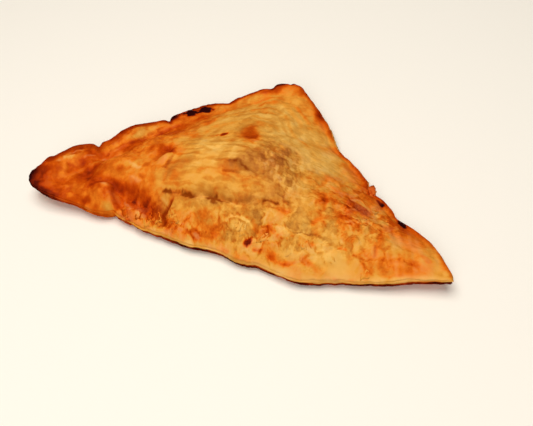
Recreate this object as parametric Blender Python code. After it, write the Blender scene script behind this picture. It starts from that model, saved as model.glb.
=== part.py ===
"""A baked vegetable puff: a square of puff pastry folded corner to corner over its filling.

The puff lies on its flat base with the crown up. The fold is the long front edge and runs
along X, and the square corner, where the two sealed edges meet, points back along +Y. The
pastry rises steeply from the fold and more gently from the sealed edges, each of which ends
in a flat rim with a groove behind it. All sizes are in millimetres, measured in a plan
whose first axis starts halfway along the fold, and the mesh itself is made in metres.
"""

import math
from dataclasses import dataclass

import bmesh
import bpy
from mathutils import Vector

MM = 0.001

# ---- Driving dimensions -------------------------------------------------------------------

LEFT_TIP = Vector((-85.5, 1.0))
RIGHT_TIP = Vector((85.0, 0.0))
BACK_CORNER = Vector((-0.8, 85.6))

RIM_TOP = 4.5            # height of the crust's upper edge above the base
CROWN_TOP = 26.5         # height that the filled middle would reach without its hollows
LEFT_RIM = 6.0           # width of the flat sealed rim at the left
RIGHT_RIM = 2.0          # and at the right, where the crown starts close to the edge
TIP_BLUNT = 1.6          # how far each sharp corner is drawn back
TIP_REACH = 0.022        # over which share of the puff it is drawn back

FRONT_RUN = 26.0         # from the fold to the crown's full height
RIGHT_RUN = 40.0         # from the right rim to the crown's full height
LEFT_RUN = 44.0          # from the left rim to the crown's full height
LEFT_SOFT = 3.0          # how softly the left slope starts to rise behind its rim
FRONT_ROUND = 2.2        # how full each slope is: 1 is a straight ramp
RIGHT_ROUND = 1.7
LEFT_ROUND = 1.4

RIM_PUFF = 0.8           # how far the sealed rim puffs up along its middle
RIM_PUFF_AT = 3.2        # distance of that middle from the edge
RIM_PUFF_HALF = 2.6
GROOVE_DEPTH = 1.3       # the pressed groove behind the rim
GROOVE_AT = 8.8
GROOVE_HALF = 2.4
RIGHT_RIM_SHARE = 0.35   # the right rim's shape is fainter than the left one's
LEFT_RIM_FADES = 0.75    # and the left one's loses this share
LEFT_FADE_X = -46.0      # from this plan place along the fold on
LEFT_FADE_RUN = 10.0     # over this length
RIM_END = 3.0            # a rim ends this far from the edge that meets it
RIM_SETTLE = 8.0         # and takes this length to reach its full shape

RIPPLE_DEPTH = 0.2       # soft waves that follow the rim round the back corner
RIPPLE_PITCH = 4.6
RIPPLE_FIRST = 7.0       # distance from the rim where they start, and how soon they are full
RIPPLE_RISE = 2.0
RIPPLE_LAST = 24.0       # where they end, and how long they take to fade
RIPPLE_FALL = 6.0
RIPPLE_FROM_Y = 38.0
RIPPLE_FADE_Y = 14.0
RIPPLE_TURN = 5.0        # how softly the waves turn the corner

SWELL_FADE = 4.0         # distance from the fold over which the top's swells reach full height
SWELL_AT_FOLD = 0.3      # and how much of that way they have at the fold
CRAG_FADE = 3.0          # the same distance for the crags

CUTS = 80                # triangles along each edge of the puff's top


@dataclass(frozen=True)
class Bulge:
    """A place where an edge swells out of its straight line, or draws in behind it."""

    share: float         # where its middle lies along the edge, from 0 to 1
    reach: float         # its half width, as a share of the edge
    rise: float          # how far out it goes; below 0 it draws in


@dataclass(frozen=True)
class Swell:
    """A rounded rise of the top, or a hollow where its rise is below 0."""

    x: float
    y: float
    long: float          # half length
    short: float         # half width
    turn: float          # of the long way, in degrees from +X
    rise: float


@dataclass(frozen=True)
class SideRow:
    """One line round the crust's side: how far it stands out, and how far below the top."""

    out: float
    down: float
    wave: float          # how much the leaf waves in and out along the edge


# The fold, from the left tip to the right one: a full left end, then a long belly. Its nicks
# are where the folded corner stops at the left and a small lap on either side.
FRONT_BULGES = (
    Bulge(0.01, 0.20, 13.0),
    Bulge(0.31, 0.08, 1.9),
    Bulge(0.457, 0.186, 9.9),
    Bulge(0.708, 0.113, 11.9),
    Bulge(0.863, 0.085, 5.9),
)
FRONT_NICKS = (
    Bulge(0.201, 0.04, 2.0),
    Bulge(0.246, 0.013, -1.8),
    Bulge(0.569, 0.04, 2.3),
)

# The right sealed edge, from the right tip to the back corner: nearly straight, with a
# small flake that stands up out of a nick.
RIGHT_BULGES = (
    Bulge(0.123, 0.10, 3.2),
    Bulge(0.45, 0.15, -1.3),
    Bulge(0.64, 0.08, -2.8),
    Bulge(0.93, 0.25, 1.2),
)
RIGHT_NICKS = (
    Bulge(0.281, 0.04, -1.3),
    Bulge(0.414, 0.025, -3.4),
    Bulge(0.413, 0.012, 3.4),
)

# The left sealed edge, from the back corner to the left tip: uneven scallops, parted by
# nicks where the pastry was pressed.
LEFT_BULGES = (
    Bulge(0.087, 0.08, 3.4),
    Bulge(0.327, 0.23, 6.0),
    Bulge(0.633, 0.091, 6.6),
    Bulge(0.84, 0.096, 9.0),
)
LEFT_NICKS = (
    Bulge(0.021, 0.013, -4.0),
    Bulge(0.094, 0.019, -4.0),
    Bulge(0.262, 0.03, -2.4),
    Bulge(0.491, 0.012, -2.4),
    Bulge(0.754, 0.012, -2.9),
    Bulge(0.927, 0.017, 3.0),
)
NICK_DEPTH = 6.0         # how far a nick or lap reaches into the rim
EDGE_FADE = 0.4          # how sharply all bulges die out towards the corners

# The tips and the left rim curl up off the base. The underside follows them.
CURLS = (
    Swell(-85.0, 0.5, 26.0, 26.0, 0.0, 5.5),
    Swell(-1.0, 85.0, 22.0, 22.0, 0.0, 3.5),
    Swell(85.5, 0.0, 24.0, 24.0, 0.0, 3.0),
    Swell(-50.0, 48.0, 32.0, 32.0, 0.0, 4.0),
)

# Folds, hollows and blisters of the top.
TOP_SWELLS = (
    Swell(-50.0, -1.0, 9.0, 4.6, -12.0, 2.8),     # folded corner at the front left
    Swell(-41.3, -1.6, 5.2, 1.7, -50.0, -2.2),    # crease that bounds it
    Swell(-33.0, -0.8, 12.0, 3.4, -13.0, -2.6),   # trough between that fold and the crown
    Swell(-59.5, 9.0, 7.0, 2.8, 68.0, -2.0),      # dip across the left end
    Swell(-70.0, 13.0, 6.0, 4.0, 40.0, 0.9),      # blister near the left tip
    Swell(-53.0, 13.0, 9.0, 5.0, 25.0, 1.2),      # ridge behind that dip
    Swell(-28.0, 16.0, 4.0, 2.6, 60.0, 1.2),      # blister on the crown's left flank
    Swell(-31.0, 21.0, 6.0, 2.4, 55.0, -0.8),     # hollow behind it
    Swell(-1.0, 3.8, 22.0, 1.5, 2.0, -1.2),       # slit along the front of the crown
    Swell(-20.3, -1.4, 4.2, 1.4, 78.0, -1.2),     # its branch down the front
    Swell(-1.0, 35.5, 5.6, 4.4, 20.0, -1.3),      # dimple on the crown
    Swell(2.5, 13.5, 6.5, 3.4, 10.0, -0.7),       # sunken oval on the crown
    Swell(10.0, -2.0, 8.0, 3.6, 8.0, 0.9),        # broad flake on the front
    Swell(-4.0, -4.5, 7.0, 3.6, 5.0, 0.7),        # flake left of it
    Swell(29.0, -4.0, 9.0, 4.4, 0.0, 0.8),        # flakes towards the right
    Swell(47.0, 12.0, 8.0, 5.6, 60.0, 1.3),       # shoulder of the right flank
    Swell(38.0, 7.0, 8.0, 2.4, 55.0, -0.9),       # hollow in front of it
    Swell(58.0, 6.0, 8.0, 5.0, -20.0, 1.0),       # swelling towards the right tip
    Swell(49.2, 33.4, 1.8, 1.6, 0.0, 1.5),        # small flake standing on the right edge
    Swell(24.0, 33.0, 9.0, 2.6, 75.0, -0.6),      # soft furrow on the right flank
    Swell(16.0, 26.0, 9.0, 2.2, 80.0, 0.5),       # ridge beside it
)

# Crags: short uneven flakes in two rows above the fold.
CRAG_ROWS = ((-38.0, 76.0, -5.2, 23), (-30.0, 70.0, -0.4, 17))   # first x, last x, y, count
CRAG_HALF_LONG = 2.8
CRAG_HALF_SHORT = 1.5
CRAG_RISE = 0.75
CRAG_SUNK = 0.8          # of twice that rise: the lowest crags are hollows
CRAG_SMALLEST = 0.7      # size of the smallest, and how much larger the largest is
CRAG_SIZES = 0.6
CRAG_STAGGER = 0.6       # how far one is moved along its row, of the step between two
CRAG_BAND = 4.0          # width of the band that a row fills
CRAG_TURN = 60.0         # widest angle between two crags, in degrees
GOLDEN = 0.6180339887    # spreads sizes and places evenly without repeating

# The side, from under the top edge down to the base.
SIDE_ROWS = (
    SideRow(0.45, 0.9, 0.25),
    SideRow(-0.15, 1.6, 0.20),
    SideRow(0.30, 2.6, 0.30),
    SideRow(-0.70, 3.5, 0.15),
)
SIDE_WAVES = 31          # waves of each leaf round the puff
LEAF_PHASE = 2.1         # turn of a leaf's waves from those of the leaf above, in radians
UNDERSIDE_SHRINK = 0.92  # ring of the underside, drawn in towards the middle
UNDERSIDE_HEIGHT = 0.35  # of that ring above the base, where nothing curls
CURL_UNDER = 0.72        # how much of a curl that ring keeps
BASE_SHRINK = 0.76       # outline of the flat base, drawn in in the same way


# ---- Plan ---------------------------------------------------------------------------------

def across(start: Vector, end: Vector) -> Vector:
    """Unit vector that points out of the puff, square to an edge walked anticlockwise."""
    along = (end - start).normalized()
    return Vector((along.y, -along.x))


def distance_across(corner: Vector, start: Vector, end: Vector) -> float:
    """Distance of a corner from the edge that lies opposite it."""
    return -(corner - start).dot(across(start, end))


def bow(bulges: tuple, share: float) -> float:
    """How far an edge stands out of its straight line at a share of its length."""
    fade = max(0.0, 4.0 * share * (1.0 - share)) ** EDGE_FADE
    return fade * sum(b.rise * math.exp(-((share - b.share) / b.reach) ** 2) for b in bulges)


CORNERS = (LEFT_TIP, RIGHT_TIP, BACK_CORNER)
# Start, end and far corner of each edge, with its bulges and its nicks.
EDGES = (
    (0, 1, 2, FRONT_BULGES, FRONT_NICKS),
    (1, 2, 0, RIGHT_BULGES, RIGHT_NICKS),
    (2, 0, 1, LEFT_BULGES, LEFT_NICKS),
)

HEIGHT_OF_LEFT = distance_across(LEFT_TIP, RIGHT_TIP, BACK_CORNER)
HEIGHT_OF_RIGHT = distance_across(RIGHT_TIP, BACK_CORNER, LEFT_TIP)
HEIGHT_OF_BACK = distance_across(BACK_CORNER, LEFT_TIP, RIGHT_TIP)


def middle() -> Vector:
    """Centre of the circle that touches all three edges."""
    sides = [(CORNERS[2] - CORNERS[1]).length, (CORNERS[0] - CORNERS[2]).length,
             (CORNERS[1] - CORNERS[0]).length]
    total = sum((side * corner for side, corner in zip(sides, CORNERS)), Vector((0.0, 0.0)))
    return total / sum(sides)


HEIGHTS = (HEIGHT_OF_LEFT, HEIGHT_OF_RIGHT, HEIGHT_OF_BACK)
MIDDLE = middle()


def plan_place(weights: Vector, with_nicks: bool = True) -> Vector:
    """Where a point of the flat triangle lies once its edges have their bulges.

    The weights are the shares of the left tip, right tip and back corner. Each edge's
    bulges fade to nothing at the corner opposite, and its nicks within the rim.
    """
    place = sum((w * corner for w, corner in zip(weights, CORNERS)), Vector((0.0, 0.0)))
    for start, end, far, bulges, nicks in EDGES:
        near = weights[start] + weights[end]
        if near > 0.0:
            share = weights[end] / near
            out = near ** 2 * bow(bulges, share)
            if with_nicks:
                inward = weights[far] * HEIGHTS[far]
                out += math.exp(-(inward / NICK_DEPTH) ** 2) * bow(nicks, share)
            place = place + across(CORNERS[start], CORNERS[end]) * out
    for weight, corner in zip(weights, CORNERS):
        pull = TIP_BLUNT * math.exp(-((1.0 - weight) / TIP_REACH) ** 2)
        place = place + (MIDDLE - corner).normalized() * pull
    return place


# ---- Height -------------------------------------------------------------------------------

def swell_height(swells: tuple, x: float, y: float) -> float:
    """Sum of the rounded rises and hollows at a place of the plan."""
    height = 0.0
    for swell in swells:
        turn = math.radians(swell.turn)
        dx, dy = x - swell.x, y - swell.y
        along = (dx * math.cos(turn) + dy * math.sin(turn)) / swell.long
        aside = (dy * math.cos(turn) - dx * math.sin(turn)) / swell.short
        height += swell.rise * math.exp(-along ** 2 - aside ** 2)
    return height


def slope(distance: float, run: float, fullness: float) -> float:
    """Share of the crown's height at a distance from where it starts to rise."""
    left = 1.0 - min(max(distance / run, 0.0), 1.0)
    return 1.0 - left ** fullness


def smooth_step(value: float) -> float:
    """0 below 0, 1 above 1, and a smooth turn between them."""
    value = min(max(value, 0.0), 1.0)
    return value * value * (3.0 - 2.0 * value)


def rim_shape(distance: float) -> float:
    """Puffed middle of the sealed rim and the groove pressed behind it."""
    puff = RIM_PUFF * math.exp(-((distance - RIM_PUFF_AT) / RIM_PUFF_HALF) ** 2)
    groove = GROOVE_DEPTH * math.exp(-((distance - GROOVE_AT) / GROOVE_HALF) ** 2)
    return puff - groove


def ripple_height(y: float, to_left: float, to_right: float) -> float:
    """Soft waves that follow the rim round the back corner.

    They run at even distances from the nearer rim, and turn the corner on a soft curve.
    """
    both = math.exp(-to_left / RIPPLE_TURN) + math.exp(-to_right / RIPPLE_TURN)
    inward = -RIPPLE_TURN * math.log(both)
    window = smooth_step((inward - RIPPLE_FIRST) / RIPPLE_RISE)
    window *= smooth_step((RIPPLE_LAST - inward) / RIPPLE_FALL)
    window *= smooth_step((y - RIPPLE_FROM_Y) / RIPPLE_FADE_Y)
    return RIPPLE_DEPTH * window * math.cos(2.0 * math.pi * inward / RIPPLE_PITCH)


def crags() -> tuple:
    """Short flakes in rows above the fold, spread by the golden ratio."""
    made = []
    for first, last, y, count in CRAG_ROWS:
        for step in range(count):
            spread = (step * GOLDEN) % 1.0
            sway = (step * GOLDEN * 3.0) % 1.0
            x = first + (last - first) * (step + CRAG_STAGGER * spread) / count
            size = CRAG_SMALLEST + CRAG_SIZES * sway
            rise = CRAG_RISE * (2.0 * spread - CRAG_SUNK)
            made.append(Swell(x, y + CRAG_BAND * (sway - 0.5), CRAG_HALF_LONG * size,
                              CRAG_HALF_SHORT * size, CRAG_TURN * (spread - 0.5), rise))
    return tuple(made)


CRAGS = crags()


def crown_share(to_fold: float, to_right: float, to_left: float) -> float:
    """Share of the crown's height: the product of the slopes that rise from the edges.

    The left slope starts softly, at LEFT_SOFT * log(1 + exp(distance / LEFT_SOFT)).
    """
    from_left = LEFT_SOFT * math.log1p(math.exp((to_left - LEFT_RIM) / LEFT_SOFT))
    return (slope(to_fold, FRONT_RUN, FRONT_ROUND)
            * slope(to_right - RIGHT_RIM, RIGHT_RUN, RIGHT_ROUND)
            * slope(from_left, LEFT_RUN, LEFT_ROUND))


def rim_height(x: float, to_right: float, to_left: float) -> float:
    """Shape of both rims: the left one fades along its way back, the right one is faint."""
    left = rim_shape(to_left) * smooth_step((to_right - RIM_END) / RIM_SETTLE)
    left *= 1.0 - LEFT_RIM_FADES * smooth_step((x - LEFT_FADE_X) / LEFT_FADE_RUN)
    right = rim_shape(to_right) * smooth_step((to_left - RIM_END) / RIM_SETTLE)
    return left + RIGHT_RIM_SHARE * right


def edge_height(x: float, y: float) -> float:
    """Height of the crust's upper edge, with the curl of the tips and the left rim."""
    return RIM_TOP + swell_height(CURLS, x, y)


def top_place(weights: Vector) -> Vector:
    """Point of the top, in millimetres, for its weights in the flat triangle."""
    place = plan_place(weights)
    x, y = place
    to_right = weights[0] * HEIGHT_OF_LEFT
    to_left = weights[1] * HEIGHT_OF_RIGHT
    to_fold = weights[2] * HEIGHT_OF_BACK
    height = edge_height(x, y)
    height += (CROWN_TOP - RIM_TOP) * crown_share(to_fold, to_right, to_left)
    height += rim_height(x, to_right, to_left) * smooth_step(to_fold / RIM_SETTLE)
    height += ripple_height(y, to_left, to_right)
    height += swell_height(TOP_SWELLS, x, y) * smooth_step(to_fold / SWELL_FADE + SWELL_AT_FOLD)
    height += swell_height(CRAGS, x, y) * smooth_step(to_fold / CRAG_FADE)
    return Vector((x, y, height))


# ---- Mesh ---------------------------------------------------------------------------------

def weights_of(point: Vector) -> Vector:
    """Shares of the three corners at a point of the flat triangle."""
    flat = point.to_2d()
    left = distance_across(flat, RIGHT_TIP, BACK_CORNER) / HEIGHT_OF_LEFT
    right = distance_across(flat, BACK_CORNER, LEFT_TIP) / HEIGHT_OF_RIGHT
    back = distance_across(flat, LEFT_TIP, RIGHT_TIP) / HEIGHT_OF_BACK
    shares = Vector((max(left, 0.0), max(right, 0.0), max(back, 0.0)))
    return shares / (shares.x + shares.y + shares.z)


def flat_triangle(mesh: bmesh.types.BMesh) -> None:
    """One flat triangle, cut into a grid of small ones."""
    verts = [mesh.verts.new(corner.to_3d()) for corner in CORNERS]
    mesh.faces.new(verts)
    bmesh.ops.subdivide_edges(mesh, edges=mesh.edges[:], cuts=CUTS - 1, use_grid_fill=True)


def rim_edges(mesh: bmesh.types.BMesh) -> list:
    """The edges of the mesh that have a face on one side only."""
    return [edge for edge in mesh.edges if edge.is_boundary]


def extrude_rim(mesh: bmesh.types.BMesh) -> list:
    """Extrudes the open rim once and gives the new points."""
    grown = bmesh.ops.extrude_edge_only(mesh, edges=rim_edges(mesh))
    return [item for item in grown["geom"] if isinstance(item, bmesh.types.BMVert)]


def angle_round(place: Vector) -> float:
    """Angle of a place round the middle of the puff, in radians."""
    return math.atan2(place.y - MIDDLE.y, place.x - MIDDLE.x)


def side_place(weights: Vector, row: SideRow, order: int) -> Vector:
    """Point of the crust's side, on one of its leaves."""
    top = top_place(weights)
    outward = (top.to_2d() - MIDDLE).normalized()
    wave = row.wave * math.sin(SIDE_WAVES * angle_round(top) + LEAF_PHASE * order)
    place = top.to_2d() + outward * (row.out + wave)
    return Vector((place.x, place.y, edge_height(top.x, top.y) - row.down))


def underside_place(weights: Vector) -> Vector:
    """Point of the ring under the crust, where it leaves the flat base."""
    place = MIDDLE + (plan_place(weights) - MIDDLE) * UNDERSIDE_SHRINK
    curl = swell_height(CURLS, place.x, place.y)
    return Vector((place.x, place.y, UNDERSIDE_HEIGHT + CURL_UNDER * curl))


def base_place(weights: Vector) -> Vector:
    """Point of the flat base's outline, which has no nicks."""
    place = MIDDLE + (plan_place(weights, with_nicks=False) - MIDDLE) * BASE_SHRINK
    return Vector((place.x, place.y, 0.0))


def pastry_mesh() -> bmesh.types.BMesh:
    """The whole puff as one closed body: top, leaves of the side, underside and base."""
    mesh = bmesh.new()
    share_layer = mesh.verts.layers.float_vector.new("corner_shares")
    flat_triangle(mesh)
    for vert in mesh.verts:
        vert[share_layer] = weights_of(vert.co)
        vert.co = top_place(vert[share_layer])
    for order, row in enumerate(SIDE_ROWS):
        for vert in extrude_rim(mesh):
            vert.co = side_place(vert[share_layer], row, order)
    for vert in extrude_rim(mesh):
        vert.co = underside_place(vert[share_layer])
    for vert in extrude_rim(mesh):
        vert.co = base_place(vert[share_layer])
    base = bmesh.ops.contextual_create(mesh, geom=rim_edges(mesh))
    bmesh.ops.poke(mesh, faces=base["faces"])
    bmesh.ops.recalc_face_normals(mesh, faces=mesh.faces[:])
    return mesh


def stand_over_origin(mesh: bmesh.types.BMesh) -> None:
    """Moves the puff so that the middle of its box's floor is the origin, in metres."""
    lows = [min(vert.co[axis] for vert in mesh.verts) for axis in range(3)]
    highs = [max(vert.co[axis] for vert in mesh.verts) for axis in range(3)]
    shift = Vector((-(lows[0] + highs[0]) / 2.0, -(lows[1] + highs[1]) / 2.0, -lows[2]))
    bmesh.ops.translate(mesh, vec=shift, verts=mesh.verts)
    bmesh.ops.scale(mesh, vec=Vector((MM, MM, MM)), verts=mesh.verts)


def baked_crust() -> bpy.types.Material:
    """Golden-brown baked puff pastry."""
    material = bpy.data.materials.new("baked_crust")
    material.use_nodes = True
    shader = material.node_tree.nodes["Principled BSDF"]
    shader.inputs["Base Color"].default_value = (0.62, 0.27, 0.055, 1.0)
    shader.inputs["Roughness"].default_value = 0.55
    shader.inputs["Metallic"].default_value = 0.0
    return material


def build_pastry() -> bpy.types.Object:
    """Makes the puff's one object."""
    shape = pastry_mesh()
    stand_over_origin(shape)
    data = bpy.data.meshes.new("pastry")
    shape.to_mesh(data)
    shape.free()
    data.materials.append(baked_crust())
    data.shade_smooth()
    pastry = bpy.data.objects.new("pastry", data)
    bpy.context.scene.collection.objects.link(pastry)
    return pastry


def main() -> None:
    """Clears the scene and builds the puff."""
    for old in list(bpy.data.objects):
        bpy.data.objects.remove(old, do_unlink=True)
    build_pastry()


main()
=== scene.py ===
"""Looks of a baked vegetable puff: its crust, the flakes that stand loose on it, and a studio.

The crust repeats the form of the part's solid from the same named sizes and adds what the
solid leaves out: leaves of pastry along the edges, laps and creases, flakes, blisters and the
browning. All forms are worked out in millimetres, in a plan whose first axis runs along the
fold and starts halfway along it, and are put into the meshes in metres.
"""

import logging
import math
from dataclasses import dataclass, field
from enum import Enum
from typing import Iterable, Sequence, Union

import bpy
import numpy as np
from mathutils import Matrix, Vector

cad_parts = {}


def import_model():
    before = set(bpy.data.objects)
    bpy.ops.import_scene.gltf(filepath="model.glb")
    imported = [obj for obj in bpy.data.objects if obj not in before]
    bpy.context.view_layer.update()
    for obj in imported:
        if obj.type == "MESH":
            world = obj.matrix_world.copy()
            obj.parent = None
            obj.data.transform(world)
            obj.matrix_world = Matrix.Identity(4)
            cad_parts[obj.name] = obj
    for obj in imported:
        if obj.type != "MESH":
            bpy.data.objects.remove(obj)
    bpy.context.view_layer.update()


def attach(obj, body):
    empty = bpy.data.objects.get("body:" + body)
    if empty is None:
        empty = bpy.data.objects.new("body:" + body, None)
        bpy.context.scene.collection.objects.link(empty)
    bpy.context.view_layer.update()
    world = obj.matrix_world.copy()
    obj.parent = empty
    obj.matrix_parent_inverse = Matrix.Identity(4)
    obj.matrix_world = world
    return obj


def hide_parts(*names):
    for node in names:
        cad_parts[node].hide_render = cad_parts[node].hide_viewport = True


LOG = logging.getLogger("puff")
Array = np.ndarray
Colour = tuple[float, float, float, float]
Pair = tuple[float, float]
Triple = tuple[float, float, float]
Socket = bpy.types.NodeSocket

MM = 0.001
BODY = "root"
NODE = "pastry"


# ---- Numbers that vary over the plan ------------------------------------------------------

def smooth_step(values: Array) -> Array:
    """0 below 0, 1 above 1, and 3 v^2 - 2 v^3 between them."""
    held = np.clip(values, 0.0, 1.0)
    return held * held * (3.0 - 2.0 * held)


def eased(values: Array, start: float, run: float) -> Array:
    """A smooth step from 0 at the start to 1 at start + run, downwards for a run below 0."""
    return smooth_step((values - start) / run)


def hump(values: Array, reach: float) -> Array:
    """A rounded rise, exp(-(values / reach)^2): 1 at 0, and nearly 0 two reaches away."""
    return np.exp(-((values / reach) ** 2))


def hashed(ix: Array, iy: Array, seed: int) -> Array:
    """Even pseudo-random numbers from 0 to 1, one for each whole place of a grid.

    Args:
        ix, iy: whole coordinates.
        seed: picks one of many such fields.

    Returns:
        The same number for the same place and seed.
    """
    mask = np.int64(0xFFFFFFFF)
    mixed = (ix.astype(np.int64) * 374761393 + iy.astype(np.int64) * 668265263
             + np.int64(seed) * 974634777) & mask
    mixed = ((mixed ^ (mixed >> 13)) * 1274126177) & mask
    mixed = ((mixed ^ (mixed >> 15)) * 741103597) & mask
    return ((mixed ^ (mixed >> 16)) & 0xFFFFFF) / float(0xFFFFFF)


def drift(x: Array, y: Array, pitch: float, seed: int) -> Array:
    """Smooth random field from -1 to 1: hashed grid numbers, blended by 6 t^5 - 15 t^4 + 10 t^3.

    Args:
        x, y: places in millimetres.
        pitch: size of the grid's squares.
        seed: picks the field.

    Returns:
        The field at each place.
    """
    gx, gy = x / pitch, y / pitch
    ix, iy = np.floor(gx), np.floor(gy)
    tx, ty = gx - ix, gy - iy
    tx = tx**3 * (tx * (tx * 6.0 - 15.0) + 10.0)
    ty = ty**3 * (ty * (ty * 6.0 - 15.0) + 10.0)
    near = hashed(ix, iy, seed) * (1.0 - tx) + hashed(ix + 1, iy, seed) * tx
    far = hashed(ix, iy + 1, seed) * (1.0 - tx) + hashed(ix + 1, iy + 1, seed) * tx
    return 2.0 * (near * (1.0 - ty) + far * ty) - 1.0


def rough(x: Array, y: Array, pitch: float, octaves: int, seed: int) -> Array:
    """Sum of drifts, each at 0.5 of the last one's pitch and 0.55 of its height, within -1 to 1.

    Args:
        x, y: places in millimetres.
        pitch: pitch of the broadest drift.
        octaves: how many drifts are added.
        seed: picks the fields.

    Returns:
        The sum at each place.
    """
    total, weight, whole = np.zeros_like(x), 1.0, 0.0
    for octave in range(octaves):
        turned_x = x * math.cos(octave) + y * math.sin(octave)
        turned_y = y * math.cos(octave) - x * math.sin(octave)
        total += weight * drift(turned_x, turned_y, pitch * 0.5**octave, seed + 17 * octave)
        whole += weight
        weight *= 0.55
    return total / whole


@dataclass(frozen=True)
class Plates:
    """Irregular plates that cover the plan, each the places nearest to its own seed point.

    Attributes:
        number, other: two random numbers from 0 to 1 for the plate that a place lies on.
        gap: distance to the next plate's seed less that to its own, 0 on a border.
        along: place on the plate from its seed along X, in plates.
    """

    number: Array
    other: Array
    gap: Array
    along: Array


def plates(x: Array, y: Array, pitch: float, stretch: float, seed: int) -> Plates:
    """Parts the plan into plates around seed points, one in each square of a grid.

    Args:
        x, y: places in millimetres.
        pitch: mean size of a plate along Y.
        stretch: how much longer a plate is along X.
        seed: picks the seed points.

    Returns:
        The plate at each place.
    """
    gx, gy = x / (pitch * stretch), y / pitch
    ix, iy = np.floor(gx), np.floor(gy)
    best, second = np.full_like(gx, 9.0), np.full_like(gx, 9.0)
    number, other, along = np.zeros_like(gx), np.zeros_like(gx), np.zeros_like(gx)
    for step_x in (-1, 0, 1):
        for step_y in (-1, 0, 1):
            cx, cy = ix + step_x, iy + step_y
            dx = gx - cx - 0.1 - 0.8 * hashed(cx, cy, seed)
            dy = gy - cy - 0.1 - 0.8 * hashed(cx, cy, seed + 1)
            far = np.hypot(dx, dy)
            closer = far < best
            second = np.where(closer, best, np.minimum(second, far))
            number = np.where(closer, hashed(cx, cy, seed + 2), number)
            other = np.where(closer, hashed(cx, cy, seed + 3), other)
            along = np.where(closer, dx, along)
            best = np.where(closer, far, best)
    return Plates(number, other, second - best, along)


# ---- Lines drawn on the plan --------------------------------------------------------------

@dataclass(frozen=True)
class Line:
    """A line of points on the plan that a crease or a lap of the pastry follows.

    Attributes:
        points: its points, each x and y.
        rise, half: height and half width; a rise below 0 is a hollow.
        brown: how much more it is baked, below 0 for paler.
    """

    points: tuple[Pair, ...]
    rise: float
    half: float
    brown: float

    def measure(self, x: Array, y: Array) -> tuple[Array, Array, Array]:
        """Finds the nearest place of the line.

        Args:
            x, y: the places to measure from.

        Returns:
            The distance, above 0 on the left of the line as it is walked and below 0 on its
            right, the share of its length where that place lies, and a window that is 1 along
            the line and fades to 0 at both its ends.
        """
        points = np.array(self.points)
        lengths = np.linalg.norm(np.diff(points, axis=0), axis=1)
        starts = np.concatenate(([0.0], np.cumsum(lengths)))
        best, signed, share = np.full_like(x, 1e9), np.zeros_like(x), np.zeros_like(x)
        for start, end, length, before in zip(points[:-1], points[1:], lengths, starts):
            run = (end - start) / length
            dx, dy = x - start[0], y - start[1]
            along = np.clip(dx * run[0] + dy * run[1], 0.0, length)
            far = np.hypot(dx - along * run[0], dy - along * run[1])
            side = np.where(dy * run[0] - dx * run[1] >= 0.0, 1.0, -1.0)
            closer = far < best
            best = np.where(closer, far, best)
            signed = np.where(closer, far * side, signed)
            share = np.where(closer, (before + along) / starts[-1], share)
        window = smooth_step(5.0 * share) * smooth_step(5.0 * (1.0 - share))
        return signed, share, window

    def ridge(self, x: Array, y: Array, wider: float = 1.0) -> Array:
        """window * exp(-(distance / (wider * half))^2): 1 on the line, fading to its sides."""
        signed, _, window = self.measure(x, y)
        return window * hump(signed, wider * self.half)


def lines(*rows: tuple) -> tuple[Line, ...]:
    """Lines from rows of their rise, half width, browning and points."""
    return tuple(Line(row[3:], *row[:3]) for row in rows)


def drawn(*rows: tuple) -> tuple[Line, ...]:
    """Flat lines of colour from rows of their half width, browning and points."""
    return lines(*((0.0, *row) for row in rows))


# ---- The form: plan and height of the puff, in millimetres ---------------------------------

@dataclass(frozen=True)
class Bulge:
    """A place where an edge swells out of its straight line, or draws in behind it.

    Attributes:
        share, reach: its middle and its half width, as shares of the edge.
        rise: how far out it goes; below 0 it draws in.
    """

    share: float
    reach: float
    rise: float


@dataclass(frozen=True)
class Swell:
    """A rounded rise of the skin, a hollow where its rise is below 0, or a patch of colour.

    Attributes:
        x, y: plan place of its middle.
        long, short: half length and half width.
        rise: height or strength at its middle.
        turn: of the long way, in degrees from +X.
    """

    x: float
    y: float
    long: float
    short: float
    rise: float
    turn: float = 0.0


def swells(*rows: tuple[float, ...]) -> tuple[Swell, ...]:
    """Swells from rows of their x, y, half length, half width, rise and turn, if any."""
    return tuple(Swell(*row) for row in rows)


@dataclass(frozen=True)
class Edge:
    """One edge of the flat triangle, walked anticlockwise.

    Attributes:
        start, end, far: indices of its two corners and of the one opposite.
        bulges: broad swellings of its line, which the whole skin follows.
        nicks: small laps and nicks, which only the rim follows.
    """

    start: int
    end: int
    far: int
    bulges: tuple[Bulge, ...]
    nicks: tuple[Bulge, ...]


def swell_sum(swells: tuple[Swell, ...], x: Array, y: Array) -> Array:
    """Adds rounded rises: each is rise * exp(-(along / long)^2 - (aside / short)^2).

    Args:
        swells: the rises to add.
        x, y: plan places.

    Returns:
        The summed height or strength at each place.
    """
    total = np.zeros_like(x)
    for swell in swells:
        turn = math.radians(swell.turn)
        dx, dy = x - swell.x, y - swell.y
        along = (dx * math.cos(turn) + dy * math.sin(turn)) / swell.long
        aside = (dy * math.cos(turn) - dx * math.sin(turn)) / swell.short
        total += swell.rise * np.exp(-along**2 - aside**2)
    return total


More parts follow.
